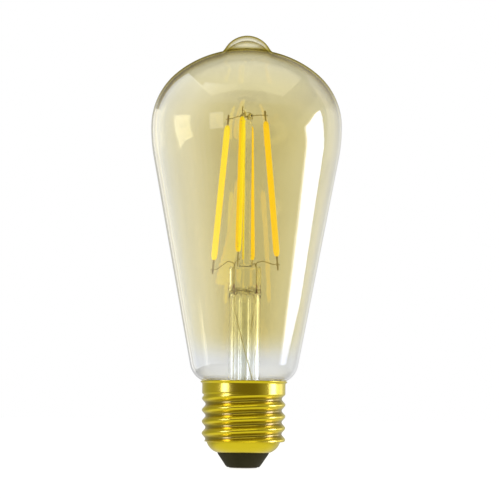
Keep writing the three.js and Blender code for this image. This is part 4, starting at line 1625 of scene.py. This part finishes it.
@dataclass
class Driver(Assembly):
    """Board with its parts in the cap. Millimetres."""

    drum_waist: float = 1.08
    drum_disc: float = 0.6
    copper_radius: float = 0.16
    segments: int = 64

    def lay(self, name: str, outline: Sequence[Point], segments: int, finish: Finish, node: str) -> None:
        """Makes a turned part that lies along X in the middle of its node.

        Args:
            name: its name.
            outline: its outline, with heights from its middle.
            segments: number of parts round it.
            finish: its finish.
            node: the CAD node it stands for.
        """
        low, high = span(node)
        points, faces = turn_outline(outline, segments)
        lying = Matrix.Translation((low + high) / 2) @ Matrix.Rotation(math.pi / 2, 4, "Y")
        self.maker.solid(name, ([lying @ point for point in points], faces), finish, node)

    def make_capacitor(self) -> None:
        """Makes the capacitor: a can with a crimp and a rounded edge, lying along X."""
        low, high = span("bulk_capacitor")
        radius, length = (high.z - low.z) / 2, high.x - low.x
        outline = [
            (0.0, -length / 2),
            (radius - 0.5, -length / 2),
            *arc((radius - 0.35, 0.35 - length / 2), 0.35, -90, 0, 5),
            (radius, 0.9 - length / 2),
            (radius - 0.18, 1.3 - length / 2),
            (radius, 1.7 - length / 2),
            *line((radius, 2.0 - length / 2), (radius, length / 2 - 0.3), 6),
            *arc((radius - 0.3, length / 2 - 0.3), 0.3, 0, 90, 5),
            (radius * 0.75, length / 2 - 0.1),
            (0.0, length / 2 - 0.1),
        ]
        self.lay("capacitor_can", outline, self.segments, SHRINK, "bulk_capacitor")

    def make_choke(self) -> None:
        """Makes the drum core and the turns of wire on it."""
        low, high = span("inductor_core")
        middle, radius = (low + high) / 2, (high.x - low.x) / 2
        bottom, top, disc, waist = low.z, high.z, self.drum_disc, self.drum_waist
        outline = [
            (0.0, bottom),
            (radius - 0.12, bottom),
            (radius, bottom + 0.12),
            (radius, bottom + disc),
            (waist, bottom + disc),
            (waist, top - disc),
            (radius, top - disc),
            (radius, top - 0.12),
            (radius - 0.12, top),
            (0.0, top),
        ]
        points, faces = turn_outline(outline, self.segments)
        place = Vector((middle.x, middle.y, 0))
        shape = ([point + place for point in points], faces)
        self.maker.solid("choke_drum", shape, FERRITE, "inductor_core")
        wire = self.copper_radius
        height = top - bottom - 2 * disc - 2 * wire - 0.1
        start = Vector((middle.x, middle.y, bottom + disc + wire + 0.05))
        coil = self.maker.bare("choke_winding", [start], [])
        winding_rule().apply(
            coil,
            COPPER,
            turns=height / (2 * wire),
            coil_radius=(radius - 0.3 - wire) * MM,
            height=height * MM,
            wire_radius=wire * MM,
        )
        self.maker.dress(coil, COPPER, ["inductor_winding"])

    def make_resistor(self) -> None:
        """Makes the resistor: a body with fatter ends, lying along X."""
        low, high = span("fusible_resistor")
        radius, length = (high.z - low.z) / 2, high.x - low.x
        outline = [
            (
                radius * max(0.0, math.sin(t)) ** 0.45 * (1 - 0.16 * math.sin(t) ** 12),
                -length / 2 * math.cos(t),
            )
            for t in [math.pi * step / 36 for step in range(37)]
        ]
        outline[0], outline[-1] = (0.0, -length / 2), (0.0, length / 2)
        self.lay("resistor_body", outline, 40, PAINTED, "fusible_resistor")

    def make(self) -> None:
        """Makes the parts that are rounder than in the CAD, and dresses the rest."""
        self.make_capacitor()
        self.make_choke()
        self.make_resistor()
        finishes = {
            "driver_board": RESIST_WHITE,
            "driver_liner": SLEEVE,
            "contact_wire": COPPER,
            "shell_wire": COPPER,
            "bridge_rectifier": EPOXY,
            "driver_chip": EPOXY,
            "radio_board": RESIST_GREEN,
            "radio_shield": SHIELD_TIN,
            "radio_antenna": FIRED,
        }
        for node, finish in finishes.items():
            self.maker.carry(node, finish)


# ---- Studio ----------------------------------------------------------------------------------


@dataclass(frozen=True)
class Lamp:
    """A soft light given by where it stands round the object. Metres and degrees."""

    name: str
    azimuth: float
    distance: float
    bottom: float
    top: float
    width: float
    radiance: float
    colour: tuple[float, float, float] = (1, 1, 1)
    only: tuple[str, ...] = ()
    lean: float = 0.0
    tilt: float = 0.0

    def make(self) -> None:
        """Makes the light. Azimuth 0 is the camera's side and 90 the right."""
        height = self.top - self.bottom
        data = bpy.data.lights.new(self.name, "AREA")
        data.shape = "RECTANGLE"
        data.size, data.size_y = self.width, height
        data.energy = self.radiance * math.pi * self.width * height
        data.color = self.colour
        light = bpy.data.objects.new(self.name, data)
        angle = math.radians(self.azimuth)
        middle = Vector((math.sin(angle), -math.cos(angle), 0)) * self.distance
        middle.z = (self.top + self.bottom) / 2
        light.location = middle
        level = Vector((middle.x, middle.y, 0))
        turn = level.to_track_quat("Z", "Y").to_matrix().to_4x4()
        turn = turn @ Matrix.Rotation(math.radians(self.tilt), 4, "X")
        light.rotation_euler = (turn @ Matrix.Rotation(math.radians(self.lean), 4, "Z")).to_euler()
        light.visible_camera = False
        bpy.context.scene.collection.objects.link(light)
        if self.only:
            group = bpy.data.collections.new(f"{self.name}_lit")
            for name in self.only:
                group.objects.link(bpy.data.objects[name])
            light.light_linking.receiver_collection = group


@dataclass
class Studio:
    """White studio with soft lights and a long lens. Metres and degrees."""

    camera_place: tuple[float, float, float] = (0.0, -0.430, 0.0157)
    pitch: float = 7.07
    roll: float = 0.61
    lens: float = 97.76
    shift: float = 0.0084
    sensor: float = 36.0
    floor_radius: float = 6.0
    floor_sides: int = 96
    horizon: tuple[tuple[float, Colour], ...] = (
        (0.0, grey(0.6)),
        (0.1, grey(0.45)),
        (0.16, grey(0.34)),
        (0.3, (0.36, 0.33, 0.28, 1)),
        (0.4, (0.14, 0.115, 0.085, 1)),
        (0.6, (0.14, 0.115, 0.085, 1)),
        (0.7, (0.34, 0.32, 0.3, 1)),
        (0.82, grey(0.5)),
        (0.9, grey(0.56)),
        (1.0, grey(0.5)),
    )
    raised: Colour = (0.30, 0.28, 0.26, 1)
    overhead: Colour = (0.40, 0.37, 0.25, 1)
    below: Colour = (0.68, 0.66, 0.6, 1)
    before: Colour = (0.35, 0.33, 0.3, 1)
    fade: tuple[float, ...] = (0.61, 0.54, 0.46, 0.37, 0.29, 0.22, 0.16, 0.1, 0.05)
    fade_from: float = -67.0
    fade_step: float = 7.0
    fade_width: float = 0.073

    def make_floor(self) -> None:
        """Makes the floor."""
        turns = [2 * math.pi * step / self.floor_sides for step in range(self.floor_sides)]
        points = [(self.floor_radius * math.cos(a), self.floor_radius * math.sin(a), 0) for a in turns]
        mesh = bpy.data.meshes.new("floor")
        mesh.from_pydata(points, [], [tuple(range(self.floor_sides))])
        mesh.materials.append(PaleFloor().material())
        floor = bpy.data.objects.new("floor", mesh)
        floor.visible_glossy = False
        bpy.context.scene.collection.objects.link(floor)

    def make_world(self) -> None:
        """Makes the surroundings: bright behind and below, dark in front."""
        world = bpy.data.worlds.new("studio")
        world.use_nodes = True
        world.node_tree.nodes.clear()
        board = Board(world.node_tree)
        x, y, z = board.parts(board.add("ShaderNodeTexCoord")["Generated"])
        around = x.angle_to(0 - y) / (2 * math.pi) + 0.5
        sky = board.add("ShaderNodeValToRGB", {"stops": self.horizon}, {0: around})["Color"]
        sky = board.mix(z.step(0.28, 0.40), sky, self.raised)
        sky = board.mix(z.step(0.50, 0.75), sky, self.overhead)
        sky = board.mix((0 - z).step(0.35, 0.6), sky, self.below)
        behind = board.mix(y.step(-0.3, 0.25), self.before, WHITE)
        path = board.add("ShaderNodeLightPath")
        sky = board.mix(path["Is Transmission Ray"], sky, behind)
        sky = board.mix(path["Is Camera Ray"], sky, WHITE)
        shown = board.add("ShaderNodeBackground", {}, {"Color": sky, "Strength": 1.0})[0]
        board.add("ShaderNodeOutputWorld", {}, {"Surface": shown})
        bpy.context.scene.world = world

    def make_camera(self) -> None:
        """Makes the camera."""
        data = bpy.data.cameras.new("camera")
        data.lens = self.lens
        data.sensor_width = self.sensor
        data.shift_x = self.shift
        data.clip_start, data.clip_end = 0.01, 20.0
        camera = bpy.data.objects.new("camera", data)
        camera.location = self.camera_place
        tilt = Matrix.Rotation(math.radians(90 + self.pitch), 4, "X")
        camera.rotation_euler = (tilt @ Matrix.Rotation(math.radians(self.roll), 4, "Z")).to_euler()
        bpy.context.scene.collection.objects.link(camera)
        bpy.context.scene.camera = camera

    def make(self, pieces: Sequence[str]) -> None:
        """Makes the studio and sets how light is followed.

        Args:
            pieces: names of all the pieces.
        """
        self.make_floor()
        self.make_world()
        self.make_camera()
        cap, glass = ("threaded_shell",), ("envelope_glass",)
        stem = ("stem_glass", "exhaust_glass")
        rest = tuple(name for name in pieces if name not in cap)
        cream, cool, frost = (1.0, 0.96, 0.84), (0.87, 0.94, 1.1), (1.0, 0.97, 6.5)
        lamps = [
            Lamp("right_softbox", 92, 0.6, -0.12, 0.24, 0.30, 2.6, (0.93, 0.97, 1.3), rest, lean=28),
            Lamp("left_window", -35, 0.7, 0.09, 0.22, 0.20, 0.55, (1.0, 0.99, 0.9), rest),
            Lamp("cap_left", -53, 0.6, -0.1, 0.34, 0.19, 3.4, frost, cap),
            Lamp("cap_right", 88, 0.6, -0.1, 0.34, 0.23, 3.6, frost, cap),
            Lamp("cap_edge", 118, 0.6, -0.1, 0.2, 0.3, 0.7, (1.0, 0.97, 3.0), cap),
            Lamp("cap_front", 0, 0.5, 0.42, 0.8, 0.9, 0.9, (1.0, 0.97, 0.88), cap),
            Lamp("glass_left", -103, 0.6, -0.2, 0.85, 0.76, 0.68, cool, glass),
            Lamp("glass_edge", -142, 0.6, -0.14, 0.3, 0.17, 0.8, cream, glass),
            Lamp("glass_right", 140, 0.6, -0.2, 0.75, 0.7, 0.2, (1, 1, 1), glass),
            Lamp("stem_left", -98, 0.6, -0.2, 0.4, 0.55, 2.3, cool, stem),
            Lamp("stem_right", 112, 0.6, -0.2, 0.4, 0.6, 2.3, cool, stem),
            Lamp("glass_top", 0, 0.2, 0.35, 1.35, 1.4, 0.36, (1.0, 0.96, 0.74), glass, tilt=-70),
        ]
        for step, radiance in enumerate(self.fade):
            azimuth = self.fade_from + step * self.fade_step
            name = f"glass_fade_{step}"
            lamps.append(Lamp(name, azimuth, 0.6, -0.2, 0.85, self.fade_width, radiance, cool, glass))
        for lamp in lamps:
            lamp.make()
        scene = bpy.context.scene
        scene.view_settings.view_transform = "Standard"
        cycles = scene.cycles
        cycles.max_bounces = 20
        cycles.transmission_bounces = 18
        cycles.glossy_bounces = 8
        cycles.transparent_max_bounces = 32
        cycles.use_denoising = True


# ---- The lamp --------------------------------------------------------------------------------


def main() -> None:
    """Makes the lamp and its studio."""
    logging.basicConfig(level=logging.INFO, format="%(name)s: %(message)s")
    maker = Maker(wire_rule(), dots_rule())
    filaments = [Filament(maker, route) for route in ROUTES]
    for assembly in (Envelope(maker), ScrewCap(maker), Stem(maker), *filaments, Driver(maker)):
        assembly.make()
    Studio().make(maker.made)
    log.info("%d pieces made", len(maker.made))


if __name__ == "__main__":
    main()
